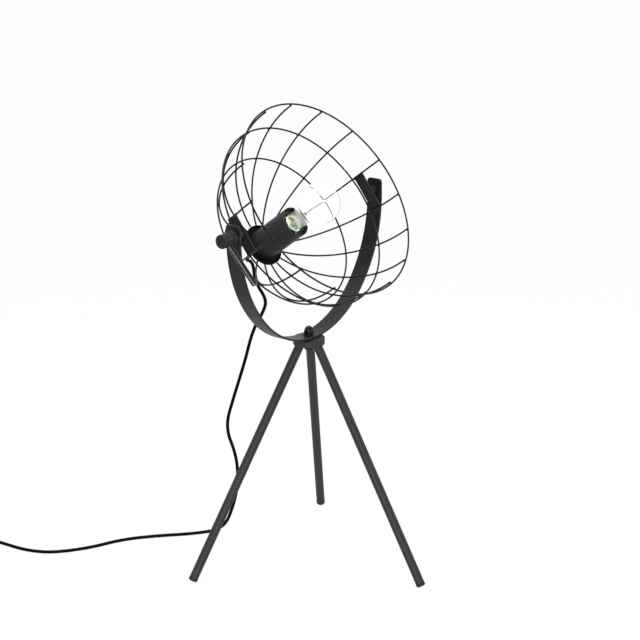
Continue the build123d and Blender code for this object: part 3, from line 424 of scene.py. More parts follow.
def bowl_wire():
    """One wire: a round section spun about the sphere's centre, then on a tighter arc to the cap."""
    wire = bmesh.new()
    start = on_sphere(WIRE_SPHERE, WIRE_START_POLAR)
    facing = Matrix.Translation(start) @ Matrix.Rotation(pi / 2 - WIRE_START_POLAR, 4, "Y")
    bmesh.ops.create_circle(wire, segments=WIRE_SIDES, radius=WIRE_RADIUS, matrix=facing)
    leaves = on_sphere(WIRE_SPHERE, WIRE_LEAVES_SPHERE)
    inward = Vector((-sin(WIRE_LEAVES_SPHERE), 0, cos(WIRE_LEAVES_SPHERE)))
    chord = WIRE_END - leaves
    bend = chord.length_squared / (2 * chord.dot(inward))
    arcs = (
        (Vector((0, 0, SPHERE_AHEAD)), WIRE_START_POLAR - WIRE_LEAVES_SPHERE, 26),
        (leaves + inward * bend, 2 * asin(chord.length / (2 * bend)), 26),
    )
    loop = wire.verts[:] + wire.edges[:]
    for centre, angle, steps in arcs:
        loop = spun_on(wire, loop, centre, angle, steps)
    bmesh.ops.holes_fill(wire, edges=open_edges(wire), sides=WIRE_SIDES)
    close_up(wire)
    soften(wire, 0.0003, 60)
    return wire


def bowl_wires():
    """All the wires, with a drop of weld where each crosses a hoop."""
    wires = bowl_wire()
    wires.transform(Matrix.Rotation(pi / WIRE_COUNT, 4, "Z"))
    first = wires.verts[:] + wires.edges[:] + wires.faces[:]
    for i in range(1, WIRE_COUNT):
        copied = bmesh.ops.duplicate(wires, geom=first)["geom"]
        turn = Matrix.Rotation(2 * pi * i / WIRE_COUNT, 3, "Z")
        bmesh.ops.rotate(wires, verts=verts_of(copied), cent=(0, 0, 0), matrix=turn)
    for ahead in RING_PLACES.values():
        polar = acos((SPHERE_AHEAD - ahead) / RING_SPHERE)
        meeting = Matrix.Translation(on_sphere((WIRE_SPHERE + RING_SPHERE) / 2, polar))
        for i in range(WIRE_COUNT):
            turn = Matrix.Rotation(2 * pi * (i + 0.5) / WIRE_COUNT, 4, "Z")
            bead(wires, turn @ meeting @ Matrix.Rotation(pi / 2 - polar, 4, "Y"), CROSSING_WELD)
    wires.transform(HEAD)
    return wires


def hoop(ahead):
    """A hoop of round wire outside the bowl's wires, with its butt weld at the bottom."""
    hoop_radius = sqrt(RING_SPHERE**2 - (SPHERE_AHEAD - ahead) ** 2)
    ring = bmesh.new()
    facing = Matrix.Translation((hoop_radius, 0, ahead)) @ Matrix.Rotation(pi / 2, 4, "X")
    bmesh.ops.create_circle(ring, segments=14, radius=WIRE_RADIUS - 0.000005, matrix=facing)
    spun_round(ring, ring.verts[:] + ring.edges[:], 160)
    bead(ring, Matrix.Translation((0, -hoop_radius, ahead)), BUTT_WELD)
    ring.transform(HEAD)
    return ring


def pivot_plate(turn):
    """A plate with rounded corners, and welds where its edges lie on two of the wires."""
    size = (PLATE_THICKNESS, PLATE_LENGTH, PLATE_WIDTH)
    plate = block(size, (PLATE_X + PLATE_THICKNESS / 2, 0, 0))
    bevel(plate, edges_along(plate, X_AXIS), PLATE_CORNER, 6)
    soften(plate, 0.0004, 40, 3)
    for ahead in (-PLATE_WIDTH / 2, PLATE_WIDTH / 2):
        across = sqrt(WIRE_SPHERE**2 - (SPHERE_AHEAD - ahead) ** 2) * sin(pi / WIRE_COUNT)
        for y in (-across, across):
            bead(plate, Matrix.Translation((PLATE_X, y, ahead * 0.9)), PLATE_WELD)
    plate.transform(HEAD @ Matrix.Rotation(turn, 4, "Z"))
    return plate


def make_bowl():
    add_piece("bowl_wires", bowl_wires(), "wire_coat", "cage_wires", "head", flat=False)
    for node, ahead in RING_PLACES.items():
        add_piece(f"{node}_hoop", hoop(ahead), "wire_coat", node, "head", flat=False)
    for side, turn in (("right", 0), ("left", pi)):
        add_piece(f"plate_{side}", pivot_plate(turn), "powder_coat", f"pivot_plate_{side}", "head")


# ---- Tilt pivots and knob ----

STUD_RADIUS = 0.004
KNOB_FACE = 0.163111
STUD_END = 0.170011
SPACER_END = 0.158061
WASHER_END = 0.159061
YOKE_OUTER = 0.162111
STUD_HOLE = 0.0041
STUD_PITCH = 0.00125
STUD_RIDGES = 6
SPACER_RADIUS = 0.0065
PIVOT_NUT_HEIGHT = 0.005
KNOB_LIFT = 0.00008
KNOB_FLANGE = 0.007
KNOB_FLANGE_RADIUS = 0.0115
KNOB_GRIP = 0.017
KNOB_RADIUS = 0.0098
KNOB_DISH = 0.0009
KNOB_DISH_RIM = 0.0076
KNOB_DISH_FLOOR = 0.0068
LEVER_TURN = radians(132.89)
LEVER_SIZE = (0.005, 0.080, 0.008)
LEVER_CENTRE = (0, 0.034, 0.177011)
LEVER_CORNER = 0.0024
LEVER_ROUND = 0.0011


def threaded_stud(place):
    """A stud with its weld ground down at the plate and thread ridges outside the yoke."""
    profile = [(0, PLATE_X - 0.0003), (STUD_RADIUS - 0.0004, PLATE_X - 0.0003), (STUD_RADIUS, PLATE_X)]
    profile += [(STUD_RADIUS, YOKE_OUTER)]
    for i in range(STUD_RIDGES):
        profile += [(STUD_RADIUS - 0.0005, YOKE_OUTER + 0.0006 + STUD_PITCH * i)]
        profile += [(STUD_RADIUS, YOKE_OUTER + 0.00115 + STUD_PITCH * i)]
    profile += [(STUD_RADIUS - 0.0007, STUD_END), (0, STUD_END)]
    return turned(profile, place, soft=0, steps=40)


def make_pivots():
    """Studs, spacers and washers at both ends of the tilt axis, and the nut at the right."""
    plate_face = PLATE_X + PLATE_THICKNESS
    spacer = band(STUD_HOLE, SPACER_RADIUS, plate_face, SPACER_END)
    inner = band(STUD_HOLE, WASHER_RADIUS, SPACER_END, WASHER_END)
    outer = band(STUD_HOLE, WASHER_RADIUS, YOKE_OUTER, KNOB_FACE)
    rounds = [(SPACER_RADIUS, plate_face, 0.0006), (SPACER_RADIUS, SPACER_END, 0.0006)]
    steel = "blackened_steel"
    for side, place in (("right", RIGHT_END), ("left", LEFT_END)):
        add_piece(f"stud_{side}", threaded_stud(place), steel, f"tilt_stud_{side}", "head")
        tube = turned(spacer, place, rounds, ring=True)
        add_piece(f"spacer_{side}", tube, "powder_coat", f"tilt_spacer_{side}", "head")
    for name, profile in (("inner_washers", inner), ("outer_washers", outer)):
        pair = turned(profile, LEFT_END, ring=True, body=turned(profile, RIGHT_END, ring=True))
        add_piece(name, pair, steel, f"tilt_{name}", "head")
    nut = hexagon_nut(KNOB_FACE, KNOB_FACE + PIVOT_NUT_HEIGHT, RIGHT_END)
    add_piece("pivot_nut", nut, steel, "tilt_nut", "head")


def make_knob():
    """The turned knob with its dished end, and the flat lever through it."""
    base = KNOB_FACE + KNOB_LIFT
    flange_end = KNOB_FACE + KNOB_FLANGE
    end = flange_end + KNOB_GRIP
    floor = end - KNOB_DISH
    bore = STUD_RADIUS + 0.0002
    bore_end = STUD_END + 0.0003
    profile = [(0, bore_end), (bore, bore_end), (bore, base), (KNOB_FLANGE_RADIUS, base)]
    profile += [(KNOB_FLANGE_RADIUS, flange_end), (KNOB_RADIUS, flange_end), (KNOB_RADIUS, end)]
    profile += [(KNOB_DISH_RIM, end), (KNOB_DISH_FLOOR, floor), (0, floor)]
    rounds = [(KNOB_FLANGE_RADIUS, base, 0.0005), (KNOB_FLANGE_RADIUS, flange_end, 0.0010)]
    rounds += [(KNOB_RADIUS, end, 0.0009)]
    body = turned(profile, LEFT_END, rounds, 0.00015)
    add_piece("knob", body, "powder_coat", "knob_body", "tilt_knob")
    lever = block(LEVER_SIZE, LEVER_CENTRE)
    tip = [edge for edge in edges_along(lever, Z_AXIS) if edge.verts[0].co.y > 0]
    bevel(lever, tip, LEVER_CORNER, 6)
    soften(lever, LEVER_ROUND, 40, 4)
    lever.transform(LEFT_END @ Matrix.Rotation(LEVER_TURN, 4, "Z"))
    add_piece("lever", lever, "lever_coat", "knob_lever", "tilt_knob")


# ---- Cap, sleeve and lampholder ----

CAP_RADIUS = 0.0315
CAP_WALL = 0.0015
CAP_FRONT = -0.099927
CAP_BACK = -0.105927
CAP_INNER_BACK = CAP_BACK + CAP_WALL
SLEEVE_RADIUS = 0.0225
SLEEVE_BORE = 0.0213
SLEEVE_MOUTH = -0.027027
SLEEVE_FLOOR = CAP_INNER_BACK + 0.0012
NIPPLE_HOLE = 0.00502
GLAND_TIP = CAP_BACK - 0.020
HOLDER_FRONT = -0.033527
HOLDER_BACK = -0.085527
HOLDER_RADIUS = 0.02125
HOLDER_BORE = 0.0155
SHELL_FRONT = -0.036827
SHELL_BACK = -0.062527
SHELL_RADIUS = 0.0142
SHELL_WALL = 0.0005
SHELL_FLOOR_HOLE = 0.008
SHELL_RIDGES = 6
HOLDER_HOLE = 0.0050
# One thread for the shell and the bulb's screw cap
THREAD_PITCH = 0.0036
GLAND_COLLAR = 0.006
GLAND_RADIUS = 0.006
GLAND_TAPER = 0.0025
GLAND_GROOVES = 5
GROOVE_DEPTH = 0.0006
CORD_HOLE = 0.0026


def make_cap():
    """The spun cup behind the bowl, with a rolled rim."""
    inner = CAP_RADIUS - CAP_WALL
    cup = [(NIPPLE_HOLE, CAP_BACK), (CAP_RADIUS, CAP_BACK), (CAP_RADIUS, CAP_FRONT), (inner, CAP_FRONT)]
    cup += [(inner, CAP_INNER_BACK), (0.010, CAP_INNER_BACK), (NIPPLE_HOLE, CAP_INNER_BACK)]
    rounds = [(CAP_RADIUS, CAP_BACK, 0.0034), (inner, CAP_INNER_BACK, 0.0019)]
    rounds += [(CAP_RADIUS, CAP_FRONT, 0.0007), (inner, CAP_FRONT, 0.0006)]
    piece = turned(cup, HEAD, rounds, 0.0002, ring=True, steps=96)
    add_piece("cap_cup", piece, "cap_coat", "cage_cap", "head")


def make_sleeve():
    """The holder's sleeve, its mouth turned in a little and rounded."""
    tube = [(NIPPLE_HOLE, CAP_INNER_BACK), (SLEEVE_RADIUS, CAP_INNER_BACK), (SLEEVE_RADIUS, SLEEVE_MOUTH)]
    tube += [(SLEEVE_BORE, SLEEVE_MOUTH), (SLEEVE_BORE, SLEEVE_FLOOR), (NIPPLE_HOLE, SLEEVE_FLOOR)]
    rounds = [(SLEEVE_RADIUS, CAP_INNER_BACK, 0.0010), (SLEEVE_RADIUS, SLEEVE_MOUTH, 0.0005)]
    piece = turned(tube, HEAD, rounds, 0.0003, ring=True, steps=96)
    add_piece("sleeve", piece, "sleeve_coat", "holder_sleeve", "head")


def make_holder():
    """Moulded body with its stepped bore, and the threaded brass shell inside it."""
    body = [(HOLDER_HOLE, HOLDER_BACK), (HOLDER_RADIUS, HOLDER_BACK), (HOLDER_RADIUS, HOLDER_FRONT)]
    body += [(HOLDER_BORE, HOLDER_FRONT), (HOLDER_BORE, SHELL_BACK), (HOLDER_HOLE, SHELL_BACK)]
    rounds = [(HOLDER_RADIUS, HOLDER_FRONT, 0.0012), (HOLDER_BORE, HOLDER_FRONT, 0.0008)]
    piece = turned(body, HEAD, rounds, 0.0003, ring=True)
    add_piece("holder_moulding", piece, "black_plastic", "lampholder_body", "head")
    crest = SHELL_RADIUS - SHELL_WALL
    shell = [(SHELL_FLOOR_HOLE, SHELL_BACK), (SHELL_RADIUS, SHELL_BACK), (SHELL_RADIUS, SHELL_FRONT)]
    shell += [(crest, SHELL_FRONT)]
    for i in range(SHELL_RIDGES):
        shell += [(SHELL_RADIUS - 0.0002, SHELL_FRONT - THREAD_PITCH / 2 - THREAD_PITCH * i)]
        shell += [(crest, SHELL_FRONT - THREAD_PITCH - THREAD_PITCH * i)]
    shell += [(crest, SHELL_BACK + SHELL_WALL), (SHELL_FLOOR_HOLE, SHELL_BACK + SHELL_WALL)]
    piece = turned(shell, HEAD, soft=0.0001, ring=True)
    add_piece("thread_shell", piece, "brass", "holder_shell", "head")


def make_gland():
    """Strain relief: a collar and a long taper with rings moulded round it."""
    collar = CAP_BACK - GLAND_COLLAR
    profile = [(0.0049, CAP_BACK), (GLAND_RADIUS, CAP_BACK), (GLAND_RADIUS, collar)]
    for i in range(GLAND_GROOVES):
        place = collar + (GLAND_TIP - collar) * (i + 0.35) / GLAND_GROOVES
        radius = GLAND_RADIUS - GLAND_TAPER * (i + 0.35) / GLAND_GROOVES
        groove = radius - GROOVE_DEPTH
        profile += [(radius, place), (groove, place - 0.0003), (groove, place - 0.0010)]
        profile += [(radius - 0.0002, place - 0.0013)]
    profile += [(0.0035, GLAND_TIP), (CORD_HOLE, GLAND_TIP), (CORD_HOLE, CAP_BACK)]
    piece = turned(profile, HEAD, soft=0.00012, ring=True, steps=48)
    add_piece("gland", piece, "black_plastic", "cord_gland", "head")


# ---- Bulb ----

BULB_RADIUS = 0.030
BULB_CENTRE = 0.026273
NECK_RADIUS = 0.0126
NECK_BEND = 0.065
GLASS_WALL = 0.0008
GLASS_END = -0.037527
BULB_CAP_FRONT = -0.031527
COLLAR_RADIUS = 0.0137
COLLAR_BACK = BULB_CAP_FRONT - 0.005
THREAD_TURNS = 4
THREAD_END = COLLAR_BACK - THREAD_PITCH * THREAD_TURNS
THREAD_CREST = 0.0131
THREAD_ROOT = 0.0122
STEPS_A_TURN = 6
STEM_TOP = -0.003527
STEM_BASE = 0.0062
STEM_SHOULDER = 0.0058
STEM_WAIST = 0.0036
STEM_WAIST_RISE = 0.005
STEM_ROD = 0.0026


def bulb_outline(body, inset):
    """Half outline of globe and neck, spun from the crown; returns its last vertex."""
    reach = BULB_RADIUS + NECK_BEND
    side = NECK_RADIUS + NECK_BEND
    drop = sqrt(reach**2 - side**2)
    last = body.verts.new((0, 0, BULB_CENTRE + BULB_RADIUS - inset))
    for centre, angle, steps in (
        ((0, 0, BULB_CENTRE), acos(-drop / reach), 40),
        ((side, 0, BULB_CENTRE - drop), -atan2(drop, side), 14),
    ):
        last = verts_of(spun_on(body, [last], centre, angle, steps))[0]
    low = body.verts.new((NECK_RADIUS - inset, 0, GLASS_END + inset))
    body.edges.new((last, low))
    return low


def bulb_glass():
    """Globe and neck as one thin blown wall, its two faces joined at the neck's end."""
    glass = bmesh.new()
    glass.edges.new([bulb_outline(glass, inset) for inset in (0, GLASS_WALL)])
    spun_round(glass, glass.verts[:] + glass.edges[:], 96)
    glass.transform(HEAD)
    return glass


def bulb_cap():
    """Screw cap: a plain collar with its floor behind the glass, then rounded threads."""
    bore = THREAD_ROOT - 0.0006
    inner = NECK_RADIUS + 0.00005
    profile = [(0, GLASS_END - 0.0007), (inner, GLASS_END - 0.0007), (inner, BULB_CAP_FRONT)]
    profile += [(COLLAR_RADIUS, BULB_CAP_FRONT), (COLLAR_RADIUS, COLLAR_BACK)]
    profile += [(THREAD_CREST - 0.0003, COLLAR_BACK)]
    for i in range(THREAD_TURNS * STEPS_A_TURN):
        swing = 2 * pi * i / STEPS_A_TURN
        radius = (THREAD_CREST + THREAD_ROOT) / 2 - (THREAD_CREST - THREAD_ROOT) / 2 * sin(swing)
        profile.append((radius, COLLAR_BACK - 0.0003 - (THREAD_PITCH - 0.0001) * i / STEPS_A_TURN))
    profile += [(bore, THREAD_END), (0, THREAD_END)]
    rounds = [(COLLAR_RADIUS, BULB_CAP_FRONT, 0.0004), (COLLAR_RADIUS, COLLAR_BACK, 0.0004)]
    return turned(profile, HEAD, rounds, 0.00008)


def bulb_stem():
    """Pressed glass foot that closes the neck: a flare that narrows to a rod."""
    foot = GLASS_END + GLASS_WALL
    waist = foot + STEM_WAIST_RISE
    flare = GLASS_END + (STEM_TOP - GLASS_END) / 2
    profile = [(0, GLASS_END), (STEM_BASE, GLASS_END), (STEM_SHOULDER, foot), (STEM_WAIST, waist)]
    profile += [(STEM_ROD, flare), (STEM_ROD, STEM_TOP), (0, STEM_TOP)]
    rounds = [(STEM_ROD, flare, 0.002), (STEM_WAIST, waist, 0.002), (STEM_ROD, STEM_TOP, 0.0012)]
    return turned(profile, HEAD, rounds, 0.0002, steps=48)


def make_bulb():
    add_piece("bulb_globe", bulb_glass(), "bulb_glass", "bulb_glass", "bulb", flat=False)
    add_piece("bulb_screw_cap", bulb_cap(), "cap_brass", "bulb_cap", "bulb", flat=False)
    add_piece("bulb_foot", bulb_stem(), "stem_glass", "bulb_stem", "bulb", flat=False)


# ---- Switch and plug ----

PLUG = Matrix.Translation((-0.434, 0.370, 0.007)) @ Matrix.Rotation(-pi / 2, 4, "X")
PLUG_RELIEF_LENGTH = 0.022
PLUG_RELIEF_RADIUS = 0.0036
PLUG_RELIEF_RINGS = 5
PLUG_FACE = 0.052
PIN_OFFSET = 0.0093
PIN_RADIUS = 0.002
PIN_LENGTH = 0.019


def make_switch():
    softened("switch_lower_shell", "switch_base", "black_plastic", "stand", 0.0005)
    softened("switch_upper_shell", "switch_cover", "black_plastic", "stand", 0.0009)
    softened("switch_key_cap", "switch_rocker", "black_plastic", "switch_key", 0.0004)
    softened("switch_case_screws", "switch_screws", "zinc_steel", "stand", 0.0003)


def make_plug():
    """The plug's body, its ringed strain relief and two round-ended pins."""
    softened("plug_moulding", "plug_body", "black_plastic", "stand", 0.0015, 25)
    relief = [(CORD_HOLE, 0), (PLUG_RELIEF_RADIUS, 0)]
    for i in range(PLUG_RELIEF_RINGS):
        place = 0.002 + 0.0038 * i
        radius = PLUG_RELIEF_RADIUS + 0.0014 * place / PLUG_RELIEF_LENGTH
        groove = radius - GROOVE_DEPTH
        relief += [(radius, place), (groove, place + 0.0004), (groove, place + 0.0012)]
        relief += [(radius, place + 0.0016)]
    relief += [(0.0050, PLUG_RELIEF_LENGTH), (CORD_HOLE, PLUG_RELIEF_LENGTH)]
    piece = turned(relief, PLUG, soft=0.00012, ring=True, steps=48)
    add_piece("plug_strain_relief", piece, "black_plastic", "plug_relief", "stand")
    root, tip = PLUG_FACE - 0.005, PLUG_FACE + PIN_LENGTH
    pins = bmesh.new()
    for x in (-PIN_OFFSET, PIN_OFFSET):
        place = PLUG @ Matrix.Translation((x, 0, 0))
        pin = [(0, root), (PIN_RADIUS, root), (PIN_RADIUS, tip), (0, tip)]
        turned(pin, place, [(PIN_RADIUS, tip, 0.0017)], 0.0001, steps=32, body=pins)
    add_piece("plug_pin_pair", pins, "pin_nickel", "plug_pins", "stand")


# ---- Cords ----

CORD_DIAMETER = 0.005
CORD_RADIUS = CORD_DIAMETER / 2
# Height of the centre line of a cord that lies on the floor
LAID = CORD_RADIUS
CORD_SIDES = 16
ROUTE = [
    HEAD @ Vector((0, 0, GLAND_TIP)), HEAD @ Vector((0, 0, GLAND_TIP - 0.024)),
    (0.031, 0.128, 0.431), (0.028, 0.123, 0.401), (0.023, 0.096, 0.379), (0.013, 0.096, 0.362),
    (0.003, 0.108, 0.335), (0.001, 0.123, 0.283), (0.001, 0.146, 0.223), (-0.002, 0.163, 0.170),
    (0.001, 0.144, 0.127), (0, 0.141, 0.084), (0, 0.151, 0.044), (-0.009, 0.165, LAID),
    (-0.048, 0.189, LAID), (-0.092, 0.234, LAID), (-0.133, 0.266, LAID), (-0.182, 0.284, LAID),
    (-0.229, 0.318, LAID), (-0.246, 0.357, LAID), (-0.249, 0.398, LAID), (-0.255, 0.432, 0.0045),
    (-0.274, 0.452, 0.008), (-0.295, 0.452, 0.008),
]
SPLIT = Vector((0.001, 0.1345, 0.253))
COIL_CENTRE = Vector((-0.352, 0.388, 0))
COIL_TURNS = 4
COIL_OUTER_TURN = 0.031
POINTS_A_TURN = 16
TAIL_ROUTE = [
    (-0.367, 0.452, 0.008), (-0.388, 0.452, 0.008), (-0.403, 0.437, 0.0055), (-0.401, 0.415, 0.003),
    (-0.389, 0.400, LAID),
]
PLUG_ROUTE = [
    (-0.384, 0.369, 0.006), (-0.388, 0.350, 0.0035), (-0.400, 0.333, LAID), (-0.421, 0.333, 0.004),
    (-0.434, 0.348, 0.007), (-0.434, 0.370, 0.007),
]


def smooth_curve(name, points):
    """A curve of one open spline that its points pull into shape, without thickness yet."""
    curve = bpy.data.curves.new(name, "CURVE")
    curve.dimensions = "3D"
    spline = curve.splines.new("NURBS")
    spline.points.add(len(points) - 1)
    for control, place in zip(spline.points, points):
        control.co = (*place, 1)
    spline.order_u = 3
    spline.use_endpoint_u = True
    spline.resolution_u = 8
    return curve


def read_line(name, points):
    """Points along the smooth curve, as the curve's own mesh gives them."""
    carrier = bpy.data.objects.new(name, smooth_curve(name, points))
    mesh = bpy.data.meshes.new_from_object(carrier)
    line = [vertex.co.copy() for vertex in mesh.vertices]
    bpy.data.objects.remove(carrier)
    bpy.data.meshes.remove(mesh)
    return line


def tube_along(line):
    """A closed cord that follows a line, its section carried from ring to ring by extrusion."""
    tube = bmesh.new()
    heading = (line[1] - line[0]).normalized()
    ring = bmesh.ops.create_circle(tube, cap_ends=True, segments=CORD_SIDES, radius=CORD_RADIUS)["verts"]
    turn = Z_AXIS.rotation_difference(heading).to_matrix()
    bmesh.ops.rotate(tube, verts=ring, cent=(0, 0, 0), matrix=turn)
    bmesh.ops.translate(tube, verts=ring, vec=line[0])
    edges = tube.edges[:]
    for i in range(1, len(line)):
        ahead = line[min(i + 1, len(line) - 1)]
        new_heading = (ahead - line[i - 1]).normalized()
        grown = bmesh.ops.extrude_edge_only(tube, edges=edges)["geom"]
        ring = verts_of(grown)
        edges = edges_of(grown)
        bmesh.ops.translate(tube, verts=ring, vec=line[i] - line[i - 1])
        turn = heading.rotation_difference(new_heading).to_matrix()
        bmesh.ops.rotate(tube, verts=ring, cent=line[i], matrix=turn)
        heading = new_heading
    bmesh.ops.holes_fill(tube, edges=edges, sides=CORD_SIDES)
    bmesh.ops.recalc_face_normals(tube, faces=tube.faces)
    return tube


def coil_points():
    """Two layers of turns: inwards on the floor, then outwards on top, each a diameter apart."""
    points = []
    half = COIL_TURNS / 2
    for step in range(1, COIL_TURNS * POINTS_A_TURN):
        turns = step / POINTS_A_TURN
        radius = COIL_OUTER_TURN - CORD_DIAMETER * (half - abs(turns - half))
        # The climb takes the last sixth of a turn before the middle
        rise = min(max((turns - half) * 6 + 1, 0), 1)
        angle = pi + 2 * pi * turns
        spoke = Vector((cos(angle), sin(angle), 0)) * radius
        points.append(COIL_CENTRE + spoke + Vector((0, 0, LAID + CORD_DIAMETER * rise)))
    return points


def make_cords():
    line = read_line("cord_line", ROUTE)
    split = min(range(len(line)), key=lambda i: (line[i] - SPLIT).length)
    switch = ("switch_base", "switch_cover", "switch_rocker", "switch_contacts", "switch_screws")
    for name, node, path, from_body, to_body, length, far_end, pieces in (
        ("lamp_cord_upper", "cord_upper", line[: split + 1], "head", "yoke", 0.25, "object", ()),
        ("lamp_cord_lower", "cord_lower", line[split:], "yoke", "stand", 0.69, "fitting", switch),
    ):
        tube = add_piece(name, tube_along(path), "cord_sheath", node, flat=False)
        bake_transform(tube)
    curve = smooth_curve("lamp_cord_tail", TAIL_ROUTE + coil_points() + PLUG_ROUTE)
    curve.bevel_depth = CORD_RADIUS
    curve.bevel_resolution = 4
    curve.use_fill_caps = True
    curve.materials.append(FINISHES["cord_sheath"])
    tail = new_object("lamp_cord_tail", curve)
    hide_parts("cord_tail", "cord_coil", "plug_cord")
    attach(tail, "stand")


# ---- Materials ----

EDGE_SAMPLES = 6
EDGE_GAIN = 14.0
# Pale grey of the painted edge highlight
EDGE_HIGHLIGHT_GREY = (0.44, 0.44, 0.45)
DUST_COLOUR = (0.30, 0.29, 0.27)
# Red, green and blue of a grey, with a trace more blue
GREY_TINT = (1, 1.01, 1.05)
GLASS_BENDING = 1.45
STEM_BENDING = 1.12
# Painted glow on the bulb's glass: faint all over, and a painted highlight at the neck's bend and inside the
# sleeve
PAINTED_GLOW_STRENGTH = 0.2
PAINTED_GLOW_COLOUR = (0.25, 0.243, 0.225)
PAINTED_HIGHLIGHT_COLOUR = (1, 0.98, 0.94)
# Where the painted highlight on the glass starts and where it is full, in metres ahead of the tilt axis
BEND_HIGHLIGHT_LOW = (-0.010, -0.005)
BEND_HIGHLIGHT_HIGH = (0.012, 0.003)
SLEEVE_HIGHLIGHT = (-0.0265, -0.029)
FILAMENT_LIGHT = 3.0


def join(tree, source, target):
    """Link a socket to another, or set it to a plain value."""
    if isinstance(source, bpy.types.NodeSocket):
        tree.links.new(source, target)
    else:
        target.default_value = source


def feed(node, **sources):
    """Set a node's inputs by name, each from a socket or to a plain value."""
    for name, source in sources.items():
        join(node.id_data, source, node.inputs[name.replace("_", " ")])


def object_place(tree):
    """Coordinates in a piece's own frame, which is the lamp's."""
    return tree.nodes.new("ShaderNodeTexCoord").outputs["Object"]


def new_group(name, inputs, outputs):
    """A node group with named number inputs and outputs; returns it, its inputs and its end."""
    tree = bpy.data.node_groups.new(name, "ShaderNodeTree")
    for socket, value in inputs.items():
        made = tree.interface.new_socket(socket, in_out="INPUT", socket_type="NodeSocketFloat")
        made.default_value = value
    for socket in outputs:
        tree.interface.new_socket(socket, in_out="OUTPUT", socket_type="NodeSocketFloat")
    return tree, tree.nodes.new("NodeGroupInput").outputs, tree.nodes.new("NodeGroupOutput")


def math_node(tree, operation, first, second):
    """A Math node fed by sockets or plain numbers."""
    made = tree.nodes.new("ShaderNodeMath")
    made.operation = operation
    join(tree, first, made.inputs[0])
    join(tree, second, made.inputs[1])
    return made.outputs[0]


def product(tree, first, second):
    return math_node(tree, "MULTIPLY", first, second)


def noise_node(tree, place, scale, detail=3.0, roughness=0.55):
    made = tree.nodes.new("ShaderNodeTexNoise")
    feed(made, Detail=detail, Roughness=roughness, Vector=place, Scale=scale)
    return made.outputs["Fac"]


def grain_group():
    """Fine bumps of a sprayed or moulded skin, with a slow drift of tone over the piece."""
    defaults = {"Grain Scale": 1800.0, "Drift Scale": 25.0, "Drift": 0.5}
    tree, inputs, end = new_group("skin_grain", defaults, ["Tone", "Height"])
    place = object_place(tree)
    fine = noise_node(tree, place, inputs["Grain Scale"], detail=2.0)
    cells = tree.nodes.new("ShaderNodeTexVoronoi")
    feed(cells, Vector=place, Scale=inputs["Grain Scale"])
    slow = noise_node(tree, place, inputs["Drift Scale"], detail=4.0)
    height = product(tree, fine, math_node(tree, "SUBTRACT", 1.2, cells.outputs["Distance"]))
    drift = product(tree, math_node(tree, "SUBTRACT", slow, 0.5), inputs["Drift"])
    speck = product(tree, math_node(tree, "SUBTRACT", fine, 0.5), 0.35)
    tone = math_node(tree, "ADD", math_node(tree, "ADD", drift, speck), 0.5)
    feed(end, Tone=tone, Height=height)
    return tree


def dust_group():
    """Thin dust on faces that look up, broken up by a slow noise."""
    tree, inputs, end = new_group("settled_dust", {"Amount": 0.2, "Patch Scale": 60.0}, ["Mask"])
    geometry = tree.nodes.new("ShaderNodeNewGeometry")
    split = tree.nodes.new("ShaderNodeSeparateXYZ")
    join(tree, geometry.outputs["Normal"], split.inputs[0])
    place = object_place(tree)
    patches = noise_node(tree, place, inputs["Patch Scale"], detail=5.0, roughness=0.65)
    up = math_node(tree, "MAXIMUM", math_node(tree, "SUBTRACT", split.outputs["Z"], 0.35), 0.0)
    mask = product(tree, product(tree, up, patches), inputs["Amount"])
    feed(end, Mask=mask)
    return tree


def handling_group():
    """Fine scratches in one direction and a cloudy tarnish, for bare metal."""
    defaults = {"Scratch Scale": 900.0, "Cloud Scale": 70.0}
    tree, inputs, end = new_group("metal_handling", defaults, ["Scratch", "Cloud"])
    place = object_place(tree)
    stretch = tree.nodes.new("ShaderNodeMapping")
    feed(stretch, Scale=(0.15, 1.0, 1.0), Vector=place)
    scratch = noise_node(tree, stretch.outputs[0], inputs["Scratch Scale"], detail=2.0)
    cloud = noise_node(tree, place, inputs["Cloud Scale"], detail=4.0)
    feed(end, Scratch=scratch, Cloud=cloud)
    return tree


def edge_highlight_group():
    """Painted edge highlight: a mask from how far a rounded normal leans from the face's own, to lighten
    corners as if they caught the light.
    """
    tree, inputs, end = new_group("painted_edge_highlight", {"Reach": 0.0016, "Amount": 1.0}, ["Mask"])
    rounded = tree.nodes.new("ShaderNodeBevel")
    rounded.samples = EDGE_SAMPLES
    feed(rounded, Radius=inputs["Reach"])
    agree = tree.nodes.new("ShaderNodeVectorMath")
    agree.operation = "DOT_PRODUCT"
    join(tree, rounded.outputs[0], agree.inputs[0])
    join(tree, tree.nodes.new("ShaderNodeNewGeometry").outputs["True Normal"], agree.inputs[1])
    lean = math_node(tree, "SUBTRACT", 1.0, agree.outputs["Value"])
    lean = product(tree, lean, EDGE_GAIN)
    mask = product(tree, math_node(tree, "MINIMUM", lean, 1.0), inputs["Amount"])
    feed(end, Mask=mask)
    return tree


GROUPS = {
    "grain": grain_group(),
    "dust": dust_group(),
    "metal": handling_group(),
    "edge": edge_highlight_group(),
}


def place_group(tree, name, **values):
    made = tree.nodes.new("ShaderNodeGroup")
    made.node_tree = GROUPS[name]
    feed(made, **values)
    return made.outputs


def new_finish(name, **values):
    """A material with its Principled shader's own sockets set; returns the material, tree and shader."""
    finish = bpy.data.materials.new(name)
    finish.use_nodes = True
    tree = finish.node_tree
    shader = tree.nodes["Principled BSDF"]
    feed(shader, **values)
    return finish, tree, shader


def spread(tree, value, low, high, start=0.0, end=1.0):
    """Map the numbers from start to end onto the range from low to high."""
    made = tree.nodes.new("ShaderNodeMapRange")
    feed(made, Value=value, From_Min=start, From_Max=end, To_Min=low, To_Max=high)
    return made.outputs[0]


def ramp(tree, value, start, end):
    """A mask that is 0 at one value and 1 at the other."""
    return spread(tree, value, 0.0, 1.0, start, end)


